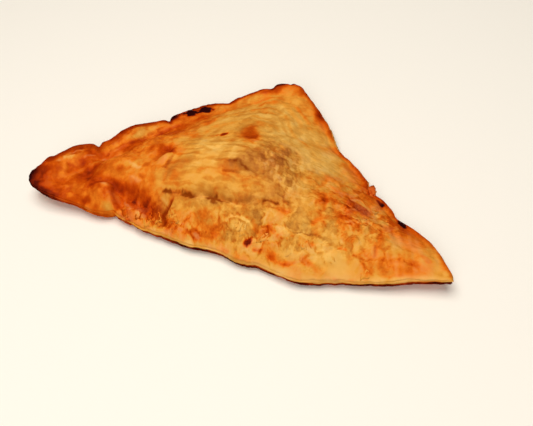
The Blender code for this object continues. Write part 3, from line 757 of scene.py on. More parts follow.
@dataclass(frozen=True)
class Browning:
    """How far each place of the skin is baked, and where the filling shows through it.

    Baked runs from 0, pale straw, through gold, amber, orange and red-brown to 1, charred.
    """

    pale: float = 0.16
    # broad changes: left end and its tip, right flank, right end, front, rims and their lips
    left_brown: float = 0.29
    tip_brown: float = 0.08
    flank_brown: float = 0.10
    right_brown: float = 0.08
    front_brown: float = 0.05
    left_rim_brown: float = 0.24
    right_rim_brown: float = 0.15
    left_lip_brown: float = 0.20
    right_lip_brown: float = 0.09
    patches: tuple[Swell, ...] = swells(
        # left tip and the front edge below it
        (-84.4, -1, 2.6, 3.6, 0.28), (-79, 1.5, 5, 3.6, 0.1), (-72, 3.5, 1.8, 4.5, -0.08, -30),
        (-69, 7.5, 1.6, 3, 0.06, -20), (-73.1, 17.4, 2.6, 2, 0.12, 30), (-80, -3.4, 7, 2.2, 0.26, -18),
        (-78.5, 2, 3.4, 4.5, 0.12), (-68, -5.6, 12, 1.1, 0.16),
        # left end
        (-73, 12, 5, 2.6, -0.09, 30), (-63, 4, 5, 3, 0.05), (-66.5, 18, 1.6, 3, 0.1),
        (-56, 17, 5, 4, 0.06, 40), (-56.5, 36, 5, 2.4, -0.11, 42), (-47.5, 39.6, 6, 2, -0.1, 42),
        (-58.5, 25, 5, 1.5, -0.12, 60), (-49, 29.5, 5.5, 2.4, 0.08, -45), (-43, 35, 5, 2.4, 0.05, -45),
        # folded corner, paler at its top as a painted highlight, and the trough behind it
        (-50.5, -3, 5.5, 3, -0.11), (-49.6, 1.8, 2.6, 1.2, -0.1, -10), (-45.4, 1.4, 3, 1.8, 0.1, -40),
        (-32, -0.8, 11, 4, 0.27, -16), (-28.8, -4.4, 2.6, 1.6, 0.16), (-45.4, -4.4, 3.4, 1.5, -0.14),
        (-67, -3.4, 4, 1.8, 0.12), (-60.8, 16.4, 3, 2.4, 0.1, 30), (-57.4, 3.4, 3.6, 2.2, 0.09),
        (-43.4, 28.8, 4.4, 2.4, 0.08, 40), (-26.5, -2.8, 5, 3.4, 0.12), (-37.8, -3.7, 2.2, 2.6, 0.06),
        (-31.6, -4.5, 2, 1.1, -0.2), (-31, -6.6, 9, 1.2, -0.16, -5), (-40, -4.6, 1.6, 1, -0.1, 40),
        # crown's left flank
        (-39, 12.5, 9, 5, -0.14, 10), (-33, 7, 8, 3.4, -0.12), (-31.4, 22, 7.5, 3.6, 0.17, -10),
        (-28, 14.6, 2.6, 3.2, 0.12), (-45, 21, 5, 4, -0.04), (-31, 50, 7, 3, 0.08, 40),
        # burnt places of the left rim
        (-42.6, 47.6, 1.6, 2.2, 0.26), (-11.4, 75.4, 2.8, 1.6, 0.24, 20), (-6, 81.5, 3, 1.6, 0.18, 10),
        (-6.6, 77.5, 2.2, 1.8, 0.12), (-17, 69, 4.5, 1.8, -0.1, 40),
        # crown
        (-1, 35.4, 10, 4.4, 0.24, 113), (2.6, 32, 4, 2.6, 0.1, 113), (-14, 18.6, 7, 2.4, 0.08),
        (-4, 17.4, 5, 1.6, 0.05), (2.2, 15.2, 4.8, 2.2, 0.07, 8), (-14, 24, 6, 5, -0.07, 20),
        (9, 41, 6, 6, -0.1), (24, 21, 5.5, 9, -0.18), (15, 50, 5, 5, -0.12, -40),
        (10.5, 57, 6, 3, -0.1, -40), (40.5, -6, 4, 2.4, -0.12), (6, 53.5, 6, 2.4, -0.08, -10),
        (-22, 45, 4, 6, 0.06), (19, 43, 3.4, 6, 0.12, 20), (-14, 44, 3, 4, 0.1), (-3, 45, 2.4, 4, 0.08),
        (4.5, 11.2, 8, 1, 0.12, 4), (-10, 10.6, 8, 2, 0.02),
        # foot of the slit's branch
        (-19.6, -5.4, 2, 1, 0.3, 20), (-16.4, -5.8, 1.5, 0.9, 0.1, -20),
        # front
        (-8.2, -6.4, 3, 2.2, -0.2), (-2.4, -6, 6.5, 3.6, 0.13, 10), (9, -3.8, 4.4, 2.2, -0.16),
        (28.6, 0.6, 4, 2.4, -0.02, 10), (1.2, -5.8, 2.4, 1.3, 0.16, 10), (23.2, -8.5, 2.4, 1.6, 0.1),
        (57.4, -1.7, 4.4, 2.6, 0.12, 10), (67.2, 9.6, 3, 2, 0.06), (78, 6.4, 3.4, 2.6, 0.02),
        (71, 1.6, 4.6, 2.4, 0.07, 10), (53.3, 4.3, 3, 2.4, 0.07), (65, 5, 5, 3, -0.08),
        (75, 4, 2.6, 2.4, 0.07), (45, -5, 7.5, 3.4, -0.22), (37, -4.4, 3, 1.6, -0.08),
        (28.6, -11.8, 4, 1.2, -0.05),
        # right flank and rim
        (48, 18.4, 3.6, 3, 0.09), (43.6, 15.6, 2.6, 2.4, 0.06), (45, 9.6, 5, 2.4, 0.1, 5),
        (36, 13, 4, 4, 0.1), (62, 0.4, 8, 3.4, 0.1, 8), (43.6, 33.5, 3, 4, 0.05, 30),
        (52.6, 28.4, 3, 2, 0.12, -36), (49.6, 25, 1.8, 3, 0.06), (62.8, 19.6, 2.8, 2, 0.18, -42),
        (64, 16.6, 2.6, 2.4, 0.12), (69, 16.4, 4.4, 1.6, 0.04, -35), (40, 22, 4, 5, -0.04),
        (16.8, 67.8, 3.2, 1.4, 0.14, -52), (29, 50, 5, 2.4, 0.12, -50), (20, 60, 4, 3, 0.1, -50),
        (9.6, 76, 4, 1.2, 0.06, -50),
        # browner and paler places between them
        (28.1, 20.6, 3.6, 3.6, 0.1), (29.6, -10.1, 3, 1.6, 0.07), (20.4, -3, 3, 2, 0.08),
        (24.2, 2.9, 2.4, 2.4, 0.08), (26.9, 8.8, 2.4, 2.6, 0.07), (-18.7, 2.2, 3, 1.6, 0.09),
        (3.6, 16.7, 3, 3, -0.08), (-6.3, 4.9, 2.6, 2, -0.08), (-36.7, -6.2, 2.6, 1.4, 0.07),
        (-10.5, -8.1, 2.6, 1.2, 0.07), (-17.1, -7.7, 2.6, 1.2, 0.07), (-10.4, 57.7, 3, 3, -0.08),
        # the patch at -65.9, -6.3 is painted shadow under the front edge near the left tip
        (-2.7, 11.8, 2.4, 2.4, 0.05), (29.5, 0.5, 2.2, 2.2, -0.1), (-65.9, -6.3, 3, 2, 0.08),
        (-75, -1.1, 2.6, 2, 0.1), (-62, 4.7, 2.6, 2.6, -0.07), (-38.1, 49.6, 3, 2, 0.06, 40),
        (30.5, 1, 4.6, 2.6, -0.22), (3.8, 0.9, 3, 1.6, -0.14), (20.3, 34.2, 3, 6, -0.14, 20),
        (17.4, 53.9, 4, 3, -0.06, -40), (37.8, 8.9, 2, 2.4, -0.18), (40.3, 0.9, 2, 2.6, -0.18),
        (48.9, 4, 2.6, 2, -0.16), (59.3, 1.5, 2.8, 2.8, -0.12), (31.7, 39.2, 4, 6, -0.18, 40),
        (38.9, 35.3, 3, 4, -0.12, 40), (24.5, 55.4, 3, 4, -0.05, 40), (-51.8, 33.6, 3.4, 2.4, -0.16, 42),
        (-45.5, -5.4, 2.6, 1.4, -0.06), (11.6, 15.4, 3.6, 6, 0.05), (-20.9, 6.8, 2.6, 2.4, 0.15),
        (-14, -2.5, 3.4, 2, 0.15), (-48.2, -2.4, 2, 2.6, 0.16), (-7, 12.1, 5.5, 1.6, 0.08),
        (-16.5, 41.5, 5, 2.4, 0.09), (15.3, -5.8, 4.4, 2.2, 0.08), (28.9, -10, 3, 1.6, 0.06),
        (4.6, -8.5, 3.2, 1.8, 0.13), (1.3, -6.2, 1.6, 1, 0.1), (73.7, 0.6, 4.2, 2.6, 0.13),
        (63.5, 11.4, 4.6, 2.4, 0.12, -20), (-70.8, -5.7, 5, 2, 0.07), (0.7, 38.4, 1.8, 4, 0.05, 20),
        (-28.2, 23.8, 3, 3.4, 0.08), (-28.2, 10.6, 2, 2.6, 0.1), (22.9, 3, 4, 1.6, 0.1),
        (26.9, 24.1, 2.6, 4, 0.08), (2.5, 69.1, 5, 2.4, 0.08), (-9.7, -4.8, 2.2, 2.6, 0.1),
        (76.3, 11, 2.4, 3, -0.12, -40), (28.4, -2.3, 3, 2.6, -0.16), (-18.8, 2.4, 2.6, 2, 0.13),
        (-19.6, 9, 3, 3, 0.1), (-35.5, -6.6, 3.4, 1.6, 0.2), (15.7, 0.4, 2.2, 2, -0.13),
        (-4.1, 1.3, 2.2, 1.6, -0.12), (-14.8, -6.5, 2.2, 1.6, -0.12), (-1, 18.6, 7, 2, -0.1, 4),
        (-36.7, -0.5, 2.4, 1.8, 0.1), (-27.7, -4.9, 2.4, 1.8, 0.08), (-10.5, -3.7, 2.4, 2.4, 0.08),
        (19.6, -4, 3.4, 1.6, 0.05), (-11.6, 75.9, 3.4, 1.6, 0.08, 30), (24.6, 4.5, 4, 1.8, 0.08),
        (27.3, 53.3, 3, 2.4, -0.04, -50), (36.3, 45.2, 3, 2.4, -0.12, -50),
        (57.4, 25.1, 2.4, 2, -0.06, -40), (-52.6, 36.6, 3.4, 2, -0.08, 42), (-51.3, 1.2, 2, 2, 0.08),
        (-74.6, -1.7, 3.4, 2.4, 0.04), (31, 0.4, 3.6, 2, -0.08), (40.1, 3.8, 2, 2.4, -0.1),
        (11, 17, 3, 5, 0.06), (-56.3, 8.2, 2.6, 2.4, -0.1), (-54.3, 29.9, 4, 2.4, -0.08, 42),
        (-35.4, 23.8, 3, 3, -0.1), (-33.4, 2.4, 3, 1.8, -0.08), (54.7, 9.7, 2.6, 2, -0.1),
        (-17.3, 61.1, 4, 4, -0.09), (-5.6, 37.3, 3, 4, -0.1, 20), (2, 51.7, 4, 4, -0.09),
        (2.5, 16.4, 4, 2.4, -0.09), (38.1, 9.4, 2, 2, -0.09), (16.1, 0, 2.2, 1.8, -0.1),
        (40.5, 35.7, 2.6, 3, 0.08), (35.8, -5, 3, 1.4, 0.1), (17.1, -10.4, 3, 1.2, 0.1),
        (-14, -3, 3.4, 2.4, 0.06), (24.6, 3.6, 4, 1.6, 0.05), (-40, 31, 3, 3, -0.05, 40),
        (-31, 28, 3, 3, -0.05, 40), (35.5, 1, 2.6, 2.6, 0.05), (16.5, 66.5, 7, 1.8, 0.16, -52),
        (-17.5, 17, 3, 2, -0.06), (3.4, 16.6, 4, 1.6, -0.05), (36, 32, 3, 3, 0.06), (27, 24, 3, 3, 0.05),
        (29.3, -9, 3, 1.2, 0.04), (15.5, -7.2, 3.6, 1.6, 0.13), (28, -10.3, 3, 1.4, 0.1),
        (5.6, -9, 3, 1.4, 0.1), (-3.5, -8.8, 3, 1.2, 0.1), (33, -3, 2.6, 1.4, 0.1),
        (20, -10.2, 3, 1.2, 0.08), (69, -1.5, 4, 1.8, 0.08), (70, 6, 12, 7, 0.07),
        (49.4, 15.6, 4, 2.6, 0.2), (-54.6, 31.4, 4, 2, -0.08, 42), (-6, 11.4, 6, 1.8, 0.06),
        (-19, 16.4, 3, 2, -0.08), (29.5, 3, 3, 2, -0.1), (40.2, -0.4, 2.4, 1.8, -0.1),
        (4, -1, 3, 1.8, -0.08), (-60.5, 8, 3, 3, -0.04), (52, 6, 3, 2.4, -0.06), (-45.5, -5, 3, 1.4, -0.06),
        (-53, 34.4, 4, 2.4, -0.06, 42), (-65, -5, 5, 1.6, -0.1), (-66, 5, 3, 2, -0.05),
        (31, 2, 4.6, 2, -0.06), (32.5, 32.6, 3, 4, -0.08, 20), (65, 15.6, 5, 2, 0.15, -40),
        (70, 13.2, 3.4, 2, 0.1, -40), (-30.5, -6.8, 2.6, 1.4, 0.12), (-18.4, -7.6, 3, 1.4, 0.12),
        (-24.5, -4.2, 2, 2, 0.1), (22.9, -7, 3, 2, 0.1), (25, 4, 3.4, 1.8, 0.08), (8.9, 11.6, 4, 2.2, 0.11),
        (-24, 18.4, 2.6, 4, 0.12), (15, 69, 4.4, 1.8, 0.12, -50), (-70.1, 13.5, 2.6, 2.2, -0.1, 30),
        (43.8, 16.5, 2.4, 2.4, -0.08), (50.6, 9.6, 3, 2.2, -0.08), (32.5, 33, 3, 4, -0.14, 20),
        (18.4, 51.4, 5, 4, -0.1, -40), (18.1, 37.7, 4, 4, -0.1), (9.4, 33.5, 2.6, 4.6, -0.08, 20),
        (33, 2.3, 3, 1.8, -0.1), (40.8, 4, 2, 2.2, -0.08), (-53.6, 33.4, 4, 2, -0.08, 42),
    )
    marks: tuple[Swell, ...] = swells(
        # burnt places of the left rim and of the right one, and their dark surrounds
        (-37, 52.6, 2.7, 1.9, 0.62, 30), (-32, 57.2, 2.6, 2, 0.6, 45), (-34.2, 55.4, 5.4, 1.2, 0.2, 42),
        (62.6, 19.9, 2.4, 1.2, 0.5, -45), (66.6, 17.8, 3.4, 0.6, 0.08, -38),
        (52.4, 28.5, 2.6, 0.9, 0.28, -38),
        # dark red spot on the front, and specks on the crown
        (13.9, -6.5, 1.6, 1, 0.52, 30), (-11.2, 33.2, 1.7, 1, 0.6, 35), (-13.8, 32.4, 0.6, 0.6, 0.26),
        # left end: red foot of the folded corner, crease beside it, trough behind it
        (-53.6, 1.7, 3.4, 0.9, 0.14, 38), (-55, -4.7, 2.2, 1.1, 0.12, 5), (-38, 1.2, 5.6, 1.2, 0.05, -9),
        (-30.6, -1, 1.6, 2.6, 0.05), (-35, -0.8, 2.2, 1.1, 0.04, -10),
        # dimple on the crown, and pale places round the filling
        (-0.8, 35.2, 8, 3.2, 0.11, 113), (2, 14.4, 6.4, 2.6, 0.07, 6),
        # red patch on the crown's left flank
        (-30.2, 21.6, 3.6, 1.3, 0.05, -8), (-25.8, 18.6, 1.6, 0.9, 0.12, -40),
        # front: orange patch, and smaller ones to its right
        (-3, -3.2, 6.6, 3.3, 0.1, 14), (-2.2, -3.4, 2.2, 1.4, -0.07, 10), (5.7, -9.8, 1.6, 0.8, 0.1),
        (23.4, -8.3, 1.7, 1.1, 0.12), (31.4, -2.8, 1.3, 0.9, 0.12, 20), (35.8, -3.4, 1.8, 1.2, 0.13),
        (36.1, -7.9, 2.4, 1.1, 0.14), (41, -8.8, 2.2, 0.7, 0.08, 6), (48.8, -2.4, 2, 0.8, 0.1, -62),
        (54.7, -3.4, 2, 0.8, 0.1, -62), (70, 2.4, 2.2, 1.2, 0.07, 20), (74, 5.6, 2, 1, 0.09, -20),
        # right shoulder and flank
        (46.5, 17.3, 5.5, 2.6, 0.12, -5), (44.6, 17.4, 1.6, 1.6, 0.1), (45.8, 9.1, 3.3, 1.1, 0.15, 6),
        (35.4, 13.6, 3.2, 1.8, 0.12, -72), (39.2, 18.2, 1.8, 2.2, 0.08), (58.8, 17.4, 7, 1, 0.15, -70),
        (43.2, 28, 4.2, 1.5, 0.07, 75),
    )
    scorches: tuple[Line, ...] = drawn(
        # red lines of the dip across the left end
        (1.5, 0.31, (-69.4, 15), (-65.6, 11.8), (-61.6, 8.2), (-58.6, 4.6), (-56.6, 1.6)),
        (1.3, 0.25, (-58.2, 13.4), (-60, 10.6), (-61.8, 7.6)),
        # upper border of the folded corner, and the crease beside it
        (1.2, 0.16, (-58.6, 0.4), (-53.5, 2.8), (-49.5, 5), (-45.5, 4), (-41, 2.8), (-33, 3.6)),
        (0.9, 0.24, (-49, 4.8), (-46.4, 1.6), (-44.6, -1.2), (-42.8, -3.4), (-41.2, -5.4)),
        # orange patch on the front: its left, upper and right edges
        (0.56, 0.07, (-10.9, -0.6), (-9.8, -3.6), (-7.8, -6.6)),
        (0.62, 0.08, (-10.6, -1), (-4, 0.6), (2.6, 1.6)),
        (0.5, 0.08, (2.2, 1.6), (3.6, -2), (4.8, -6.2)),
        # fan of a flake beside it: pale upper edge, dark line over that
        (0.5, 0.18, (10.6, -0.5), (13.4, -0.5), (16.2, -1)),
        (0.56, 0.08, (3.8, -4.6), (9, -5.2), (13, -4.8)),
        # rounded flake to its right, and lines below
       
        (0.81, 0.17, (16, -6.4), (17.6, -4.4), (18.7, -2.8), (20.8, -2), (22.9, -2.6), (24.5, -4.1),
         (26.4, -5.8)), (0.5, 0.21, (15.4, -8.1), (18, -7.7), (20.6, -7.4)),
        (0.62, 0.16, (20.4, -8.2), (23.3, -9.4), (28.4, -10.3), (31, -9.6), (33.4, -8.2)),
        (0.5, 0.16, (-11.2, -6.6), (-7.4, -8.4), (-4.6, -8.9)),
        (1, 0.1, (7.6, -10.9), (14, -11.2), (21, -10.7)),
        # lines round a pale flake, and dashes, towards the right tip
        (0.62, 0.17, (34.8, 0.4), (35.2, 4.2), (37.4, 5.2), (39.6, 3.3), (38.6, 0.8)),
        (0.44, 0.23, (44.8, -0.9), (46.6, -0.6), (48.4, -0.2)), (0.5, 0.16, (45.2, -9.2), (48.8, -9)),
        (0.5, 0.16, (50.2, -8), (53.8, -7.6)), (0.62, 0.16, (56.3, 5.2), (57.2, 2.4), (57.5, -0.8)),
        (0.5, 0.1, (38.6, -5.6), (42.6, -6.4), (46.4, -6.2)),
        (0.56, 0.13, (26.8, 0.8), (30.2, -0.2), (33.6, 0.4)),
        (0.56, 0.12, (60, -4.6), (64.4, -3.4), (68.6, -1.8)),
        # line in the orange below the sunken oval
        (0.8, 0.08, (6, 16), (12, 15), (18, 15.4)),
    )
    strokes: tuple[Line, ...] = drawn(
        # marks along the slit, and its branch
        (0.6, 3, (-24.6, 3.2), (-20.5, 2.9), (-15, 3.1), (-12.6, 2.9)),
        (0.7, 3, (-15.2, 2.9), (-12.4, 2.7), (-9.6, 2.2)),
        (0.75, 3.4, (-5.6, 2.4), (-4.4, 3.1), (-2.6, 3.4), (-1, 2.8), (-2, 2.2), (-3.8, 2.3)),
        (0.6, 2.6, (-2.6, 4), (-0.6, 3.4), (1.9, 2.5)), (1.1, 0.8, (1.6, 3.4), (7.6, 4.5), (13, 4.6)),
        (0.5, 2, (15.4, 5.2), (19.2, 5), (23, 5.3)), (0.5, 1.2, (22.8, 6.3), (25.2, 6.3)),
        (0.6, 2.2, (-18.8, 2), (-20.4, -1), (-21.6, -3), (-20.4, -4.6), (-19, -6.4)),
        (0.8, 1.4, (-23.4, -3.4), (-22.4, -4.6), (-21.4, -6)),
        # wedge of a pale flake in the trough: its pale border and the brown line beside it
        (0.5, -1.6, (-41, -0.4), (-38.4, -2.2), (-35.8, -3.9)),
        (0.45, 1.6, (-40.6, -1.6), (-39.6, -4), (-38.2, -6)),
        # upper and lower edge of the sunken oval
        (0.6, 1.2, (-4.6, 12.4), (-2.6, 14), (-0.3, 15.9), (3.2, 16.6), (6.7, 14.6), (8.6, 12.6)),
        (0.6, 1.2, (-3.4, 11.8), (-0.9, 11.9), (4.9, 12.4)),
        # upper edge of the dimple
        (1.2, 0.4, (-5, 32), (-6.4, 38), (-4.6, 43.6), (-0.8, 44.4), (2.6, 40)),
        # blister's lower edge, and darker along the groove behind the left rim, partly painted shade under
        # the rim's edge
        (0.8, 1.4, (-24.9, 18.2), (-25.4, 14.8), (-25.9, 12.1), (-27.6, 9)),
        (0.6, 0.9, (-59.9, 16), (-59.2, 21.6), (-56, 25.8), (-51.6, 29.8), (-48.6, 34.9), (-45, 39),
         (-42.2, 44.4)),
        # pale edges of flakes on the front, partly painted highlight
        (0.5, -1.3, (3.2, -2.6), (5.9, -1.1), (9, -0.8), (12.9, -1.6), (15.4, -2.8)),
        (0.35, -1.3, (-9.4, -7.2), (-6, -8), (-3, -8.3)), (0.35, -0.9, (0.8, -7.2), (1.4, -10)),
        (0.35, -0.9, (3.3, -7.2), (3.9, -10)), (0.35, -0.9, (5.8, -7.4), (6.4, -10.2)),
        # left end: painted highlights along the edge of the lap, the folded corner's top and the ridges
        (0.6, -1.5, (-77.6, 8.6), (-73.6, 11.6), (-69.8, 14.4)),
        (0.6, -1, (-75.4, 14.8), (-72.4, 16.8), (-69.4, 18.6)),
        (0.55, -1.3, (-67.8, 14.2), (-66.2, 16.2), (-64, 18)),
        (0.55, -2, (-51.8, 1.8), (-50.2, 2.8), (-48.8, 2.2)),
        (0.6, -1.1, (-59.2, 21.2), (-56, 25), (-52.8, 28.6)),
        (0.6, -1.1, (-44.6, 13.4), (-40.4, 11.4), (-36.2, 10.6)),
        (0.5, -0.9, (-41.6, 7.6), (-38, 6), (-33, 5.6)),
        (0.7, -1.1, (-62, 15.8), (-59.3, 17.3), (-55.8, 19.5), (-52, 21.8)),
    )
    filling_patches: tuple[Swell, ...] = swells(
        (8, 19.4, 5.4, 6, 1), (12, 19, 5.2, 6.6, 0.85), (13.6, 30.4, 5.4, 3.4, 0.75), (18.4, 26, 4, 6, 0.7),
        (20, 14, 5.5, 5.5, 0.45, -20), (27.4, 25.6, 2.6, 3.4, 0.55), (22.6, 8.4, 6, 4, 0.45),
        (2.2, 14.8, 5.2, 2.2, 0.75, 8), (-8, 2.6, 3.4, 1.7, 0.85, 5), (5, 4.6, 6, 1.8, 0.4, 4),
        (15, 5.6, 6, 1.7, 0.6, 4), (-18.4, 2.8, 5, 1.4, 0.45), (-21.4, 8.6, 4.2, 4.6, 0.4),
        (-22.6, 0, 2.4, 3.4, 0.5), (-16, 12.6, 6, 2, 0.2),
    )
    streaked: tuple[Swell, ...] = swells((16, 23, 9, 9, 0.9), (23, 11, 5, 8, 0.8))
    arc_pitch: float = 3.3
    arc_depth: float = 0.095
    arc_broad: float = 0.6
    mark_fade: float = 0.6
    # lines, fibres, and painted shade in the folds of the puckers
    crease_wider: float = 1.3
    lap_shade: float = 0.07
    pucker_shade: float = 0.07
    fibre_brown: float = 0.05
    # flakes: each one's own browning, and browner torn edges and lines between them, partly painted shade
    flake_brown: float = 0.10
    chip_brown: float = 0.08
    sheet_brown: float = 0.05
    torn_brown_and_shade: float = 0.05
    gap_line_brown_and_shade: float = 0.07
    chip_line_brown_and_shade: float = 0.03
    mottle_brown: float = 0.07
    # the left end's red, which is held back from turning brown, and the calm of dark skin
    red_limit: float = 0.61
    red_hold: float = 0.55
    red_mottle: float = 0.022
    calm: float = 0.70
    calm_red: float = 0.45
    palest: float = 0.10
    # the filling's pieces, the streaks of the flank and the fibres of the crown
    chunk_pitch: float = 1.5
    chunk_stretch: float = 2.2
    chunk_cast: float = 2.1
    streak_turn: float = -70.0
    streak_cast: float = 0.7
    fibre_cast: float = 0.44
    # casts of flakes and chips, painted shade along torn edges and lines, painted highlight on the pale
    # rims beside the lines, and mottling
    flake_cast: float = 1.4
    chip_cast: float = 1.1
    torn_edge_shade: float = 0.3
    chip_gap_shade: float = 0.3
    flake_rim_highlight: float = 0.9
    flaky_cast: float = -0.20
    mottle_cast: float = 0.50
    middle_cast: float = -0.25
    band_cast: float = 0.28
    # pale and brown specks of the left end; the pale ones are painted highlights
    speck_and_highlight_cast: float = 0.20
    # paler casts above 0 and browner below 0; the small pale ones on the blister, the left rim, the left
    # end and the folded corner's top are painted highlights, and the broad pale ones at the right end are
    # painted light against the shade that falls there
    tints_and_highlights: tuple[Swell, ...] = swells(
        (-7.4, 2.7, 1.9, 0.9, 1.1, 6), (3, 5.2, 2, 0.9, 0.6), (14, 6.6, 1.8, 0.9, 0.6),
        (-12, 24, 7, 5, 0.25, 20), (-27.8, 14.4, 1.8, 2.8, 1), (-31.6, -4.5, 1.9, 1, 1.3),
        (-22.2, 0.6, 1.3, 1.4, 0.6), (-18.6, -3.6, 1, 1.8, 1), (2, 14.4, 5, 2.2, -1.1, 6),
        (-47, 39.7, 2, 1.2, 0.8, 45), (-73.4, 15.6, 1.8, 1.2, 0.6, 50), (-49.6, 1.8, 1.8, 1, 0.9, -10),
        (-57, -3.4, 1.8, 0.9, 0.5), (-39, -2, 1.5, 1, 0.4), (-34.4, 0, 0.9, 0.9, 0.8),
        (-30.2, -5.6, 1.5, 0.8, 0.6, 10), (-13.4, -7, 1.4, 0.8, 0.9), (-8.8, -9.5, 1.3, 0.6, 1.2),
        (9.6, -3, 4.4, 1.9, 0.5), (22.4, -4.9, 1.6, 1.2, 0.6), (37.2, 2.8, 1.2, 1.3, 0.9),
        (3, 30.4, 4, 1.6, 0.5), (16, 33.4, 3, 1.4, 0.5), (25.4, 26, 1.2, 5, 0.7, 14),
        (12.6, 17.4, 1.8, 2.2, 0.7, 10), (20, 44, 9, 14, 0.45, 20), (-20, 7, 6, 8, -0.45),
        (-36, -1, 8, 4, -0.4), (-60, -4, 12, 2.4, -0.4), (24.6, 4.5, 5, 2.4, -0.35),
        (19.6, -4, 5, 3, -0.35), (70, 6, 9, 5, 0.25), (44, 20, 7, 7, 0.35), (-52, 4, 5, 4, -0.3),
        (-4.6, 1, 3.4, 1.2, 0.5), (-20, 48, 10, 6, -0.1, 40), (-1, 35.4, 8, 3.6, -0.5, 113),
        (-36.5, 1, 8, 3, -0.1), (-67, -5.5, 8, 2.2, -0.3), (-72, -2.5, 4, 3, -0.2),
        (22, 40, 9, 12, 0.2, 20), (64, 4, 12, 7, 0.2), (17, -5, 5, 2.2, -0.35), (28.9, -10, 3, 1.6, -0.3),
        (30.8, 1.2, 4.4, 2.6, 0.9), (40.6, 3, 2.8, 3.6, 0.9), (16, -2.6, 3, 1.6, 0.4),
        (46.6, 17, 5, 4, 0.6), (11, 15.4, 4, 5, -0.4), (3.8, 0.4, 3.6, 2.2, 0.4),
    )

    def baked(self, form: PuffForm, relief: FineRelief, shares: Array, places: Array) -> Array:
        """How far each place is baked.

        Args:
            form: the puff's form, for its distances from the edges.
            relief: the fine relief.
            shares: corner shares of the places.
            places: their plan places.

        Returns:
            The base level with trends, arcs, patches, marks and lines added, held back where the
            skin is red, with small differences that are calmer where it is more baked.
        """
        x, y = places[:, 0], places[:, 1]
        _, to_right, to_left = form.distances(shares)
        sway = 3.0 * rough(x, y, 12.0, 3, 811)
        level = self.pale + self.trends(x, y, to_right, to_left, sway)
        level += self.arcs(form.corner_distance(to_left, to_right), x, y, sway)
        level += swell_sum(self.patches, x + 0.25 * sway, y - 0.2 * sway)
        level += mark_sum(self.marks, x, y, self.mark_fade)
        level += self.fibre_brown * np.clip(-self.fibres(x, y), 0.0, 1.0)
        level += self.lined(relief, x, y, 0.15 * sway)
        # painted shade in the folds of the puckers
        level += self.pucker_shade * relief.puckers(x, y)
        red = eased(x, -18.0, -8.0) * eased(x, -78.0, 6.0) * eased(y, 44.0, -8.0)
        under_tip = eased(y, -2.0, -2.0) * eased(x, -56.0, -6.0)
        held_back = self.red_hold * red * (1.0 - under_tip)
        level -= held_back * np.clip(level - self.red_limit, 0.0, None)
        level += self.red_mottle * red * np.tanh(4.0 * rough(x, y, 2.0, 3, 1021))
        calm = 1.0 - (self.calm - self.calm_red * red) * eased(level, 0.36, 0.30)
        return np.clip(level + calm * self.uneven(relief, x, y), self.palest, 1.0)

    def trends(self, x: Array, y: Array, to_right: Array, to_left: Array, sway: Array) -> Array:
        """Broad changes of the browning.

        Args:
            x, y: plan places.
            to_right, to_left: their distances from the two rims.
            sway: drift that bends the borders of the changes.

        Returns:
            The sum of strength * eased steps, at a rim times exp(-(distance / reach)^2).
        """
        total = self.left_brown * smooth_step((-15.0 - x + sway) / 22.0)
        total += self.tip_brown * eased(x, -48.0, -12.0) + self.right_brown * eased(x + sway, 27.0, 9.0)
        total += self.flank_brown * eased(x + sway, 29.0, 9.0) * eased(y, -0.4, 12.0)
        total += self.front_brown * eased(y - 0.5 * sway, 6.0, -8.0) * eased(x, -22.0, 8.0)
        total += self.left_rim_brown * hump(to_left, 12.5) * eased(x, -36.0, 20.0)
        total += self.right_rim_brown * hump(to_right, 9.5) * eased(y, 14.0, 20.0)
        total += self.left_lip_brown * (1.0 - 0.5 * eased(x, -44.0, -6.0)) * hump(to_left, 1.5)
        return total + self.right_lip_brown * hump(to_right, 1.5)

    def arcs(self, inward: Array, x: Array, y: Array, sway: Array) -> Array:
        """Brown arcs round the back corner.

        Args:
            inward: distances from its two rims, turned round the corner.
            x, y: plan places.
            sway: drift that bends the arcs.

        Returns:
            depth * (fade * cos(2 pi order) + broad * cos(0.9 pi order)) within their band.
        """
        band = eased(inward, 5.0, 3.0) * eased(inward, 30.0, -8.0) * eased(y, 34.0, 12.0)
        order = inward / self.arc_pitch + 0.25 * sway
        fade = np.clip(0.5 + 1.6 * rough(x, y, 9.0, 2, 853), 0.1, 1.3)
        waves = fade * np.cos(2.0 * np.pi * order) + self.arc_broad * np.cos(0.9 * np.pi * order)
        return self.arc_depth * band * waves

    def lined(self, relief: FineRelief, x: Array, y: Array, push: Array) -> Array:
        """Browning along lines.

        Args:
            relief: the fine relief, for its creases and laps.
            x, y: plan places.
            push: how far the scorched lines are pushed.

        Returns:
            The scorches' and creases' ridges of brown, and for each lap a brown edge with a
            shade on its lower side.
        """
        total = sum(line.brown * line.ridge(x + push, y - push) for line in self.scorches)
        total += sum(line.brown * line.ridge(x, y, self.crease_wider) for line in relief.creases)
        for line in relief.laps:
            signed, _, window = line.measure(x, y)
            shade = self.lap_shade * eased(signed * np.sign(line.rise), 0.1, -0.8)
            total += window * (line.brown * np.exp(-np.abs(signed - 0.6) / 1.2)
                               + shade * np.exp(-np.abs(signed) / 0.9))
        return total

    def uneven(self, relief: FineRelief, x: Array, y: Array) -> Array:
        """Small differences between flakes, chips and sheets, browner along torn edges and the lines
        between flakes partly as painted shade, and mottling of two sizes.

        Args:
            relief: the fine relief.
            x, y: plan places.

        Returns:
            What they add to the browning.
        """
        flaky, (above, torn) = relief.flaky(x, y), relief.sheets(x, y)
        broad, small = relief.flakes(x, y), relief.chips(x, y)
        broken = smooth_step(0.5 + 2.5 * rough(x, y, 3.4, 2, 1193))
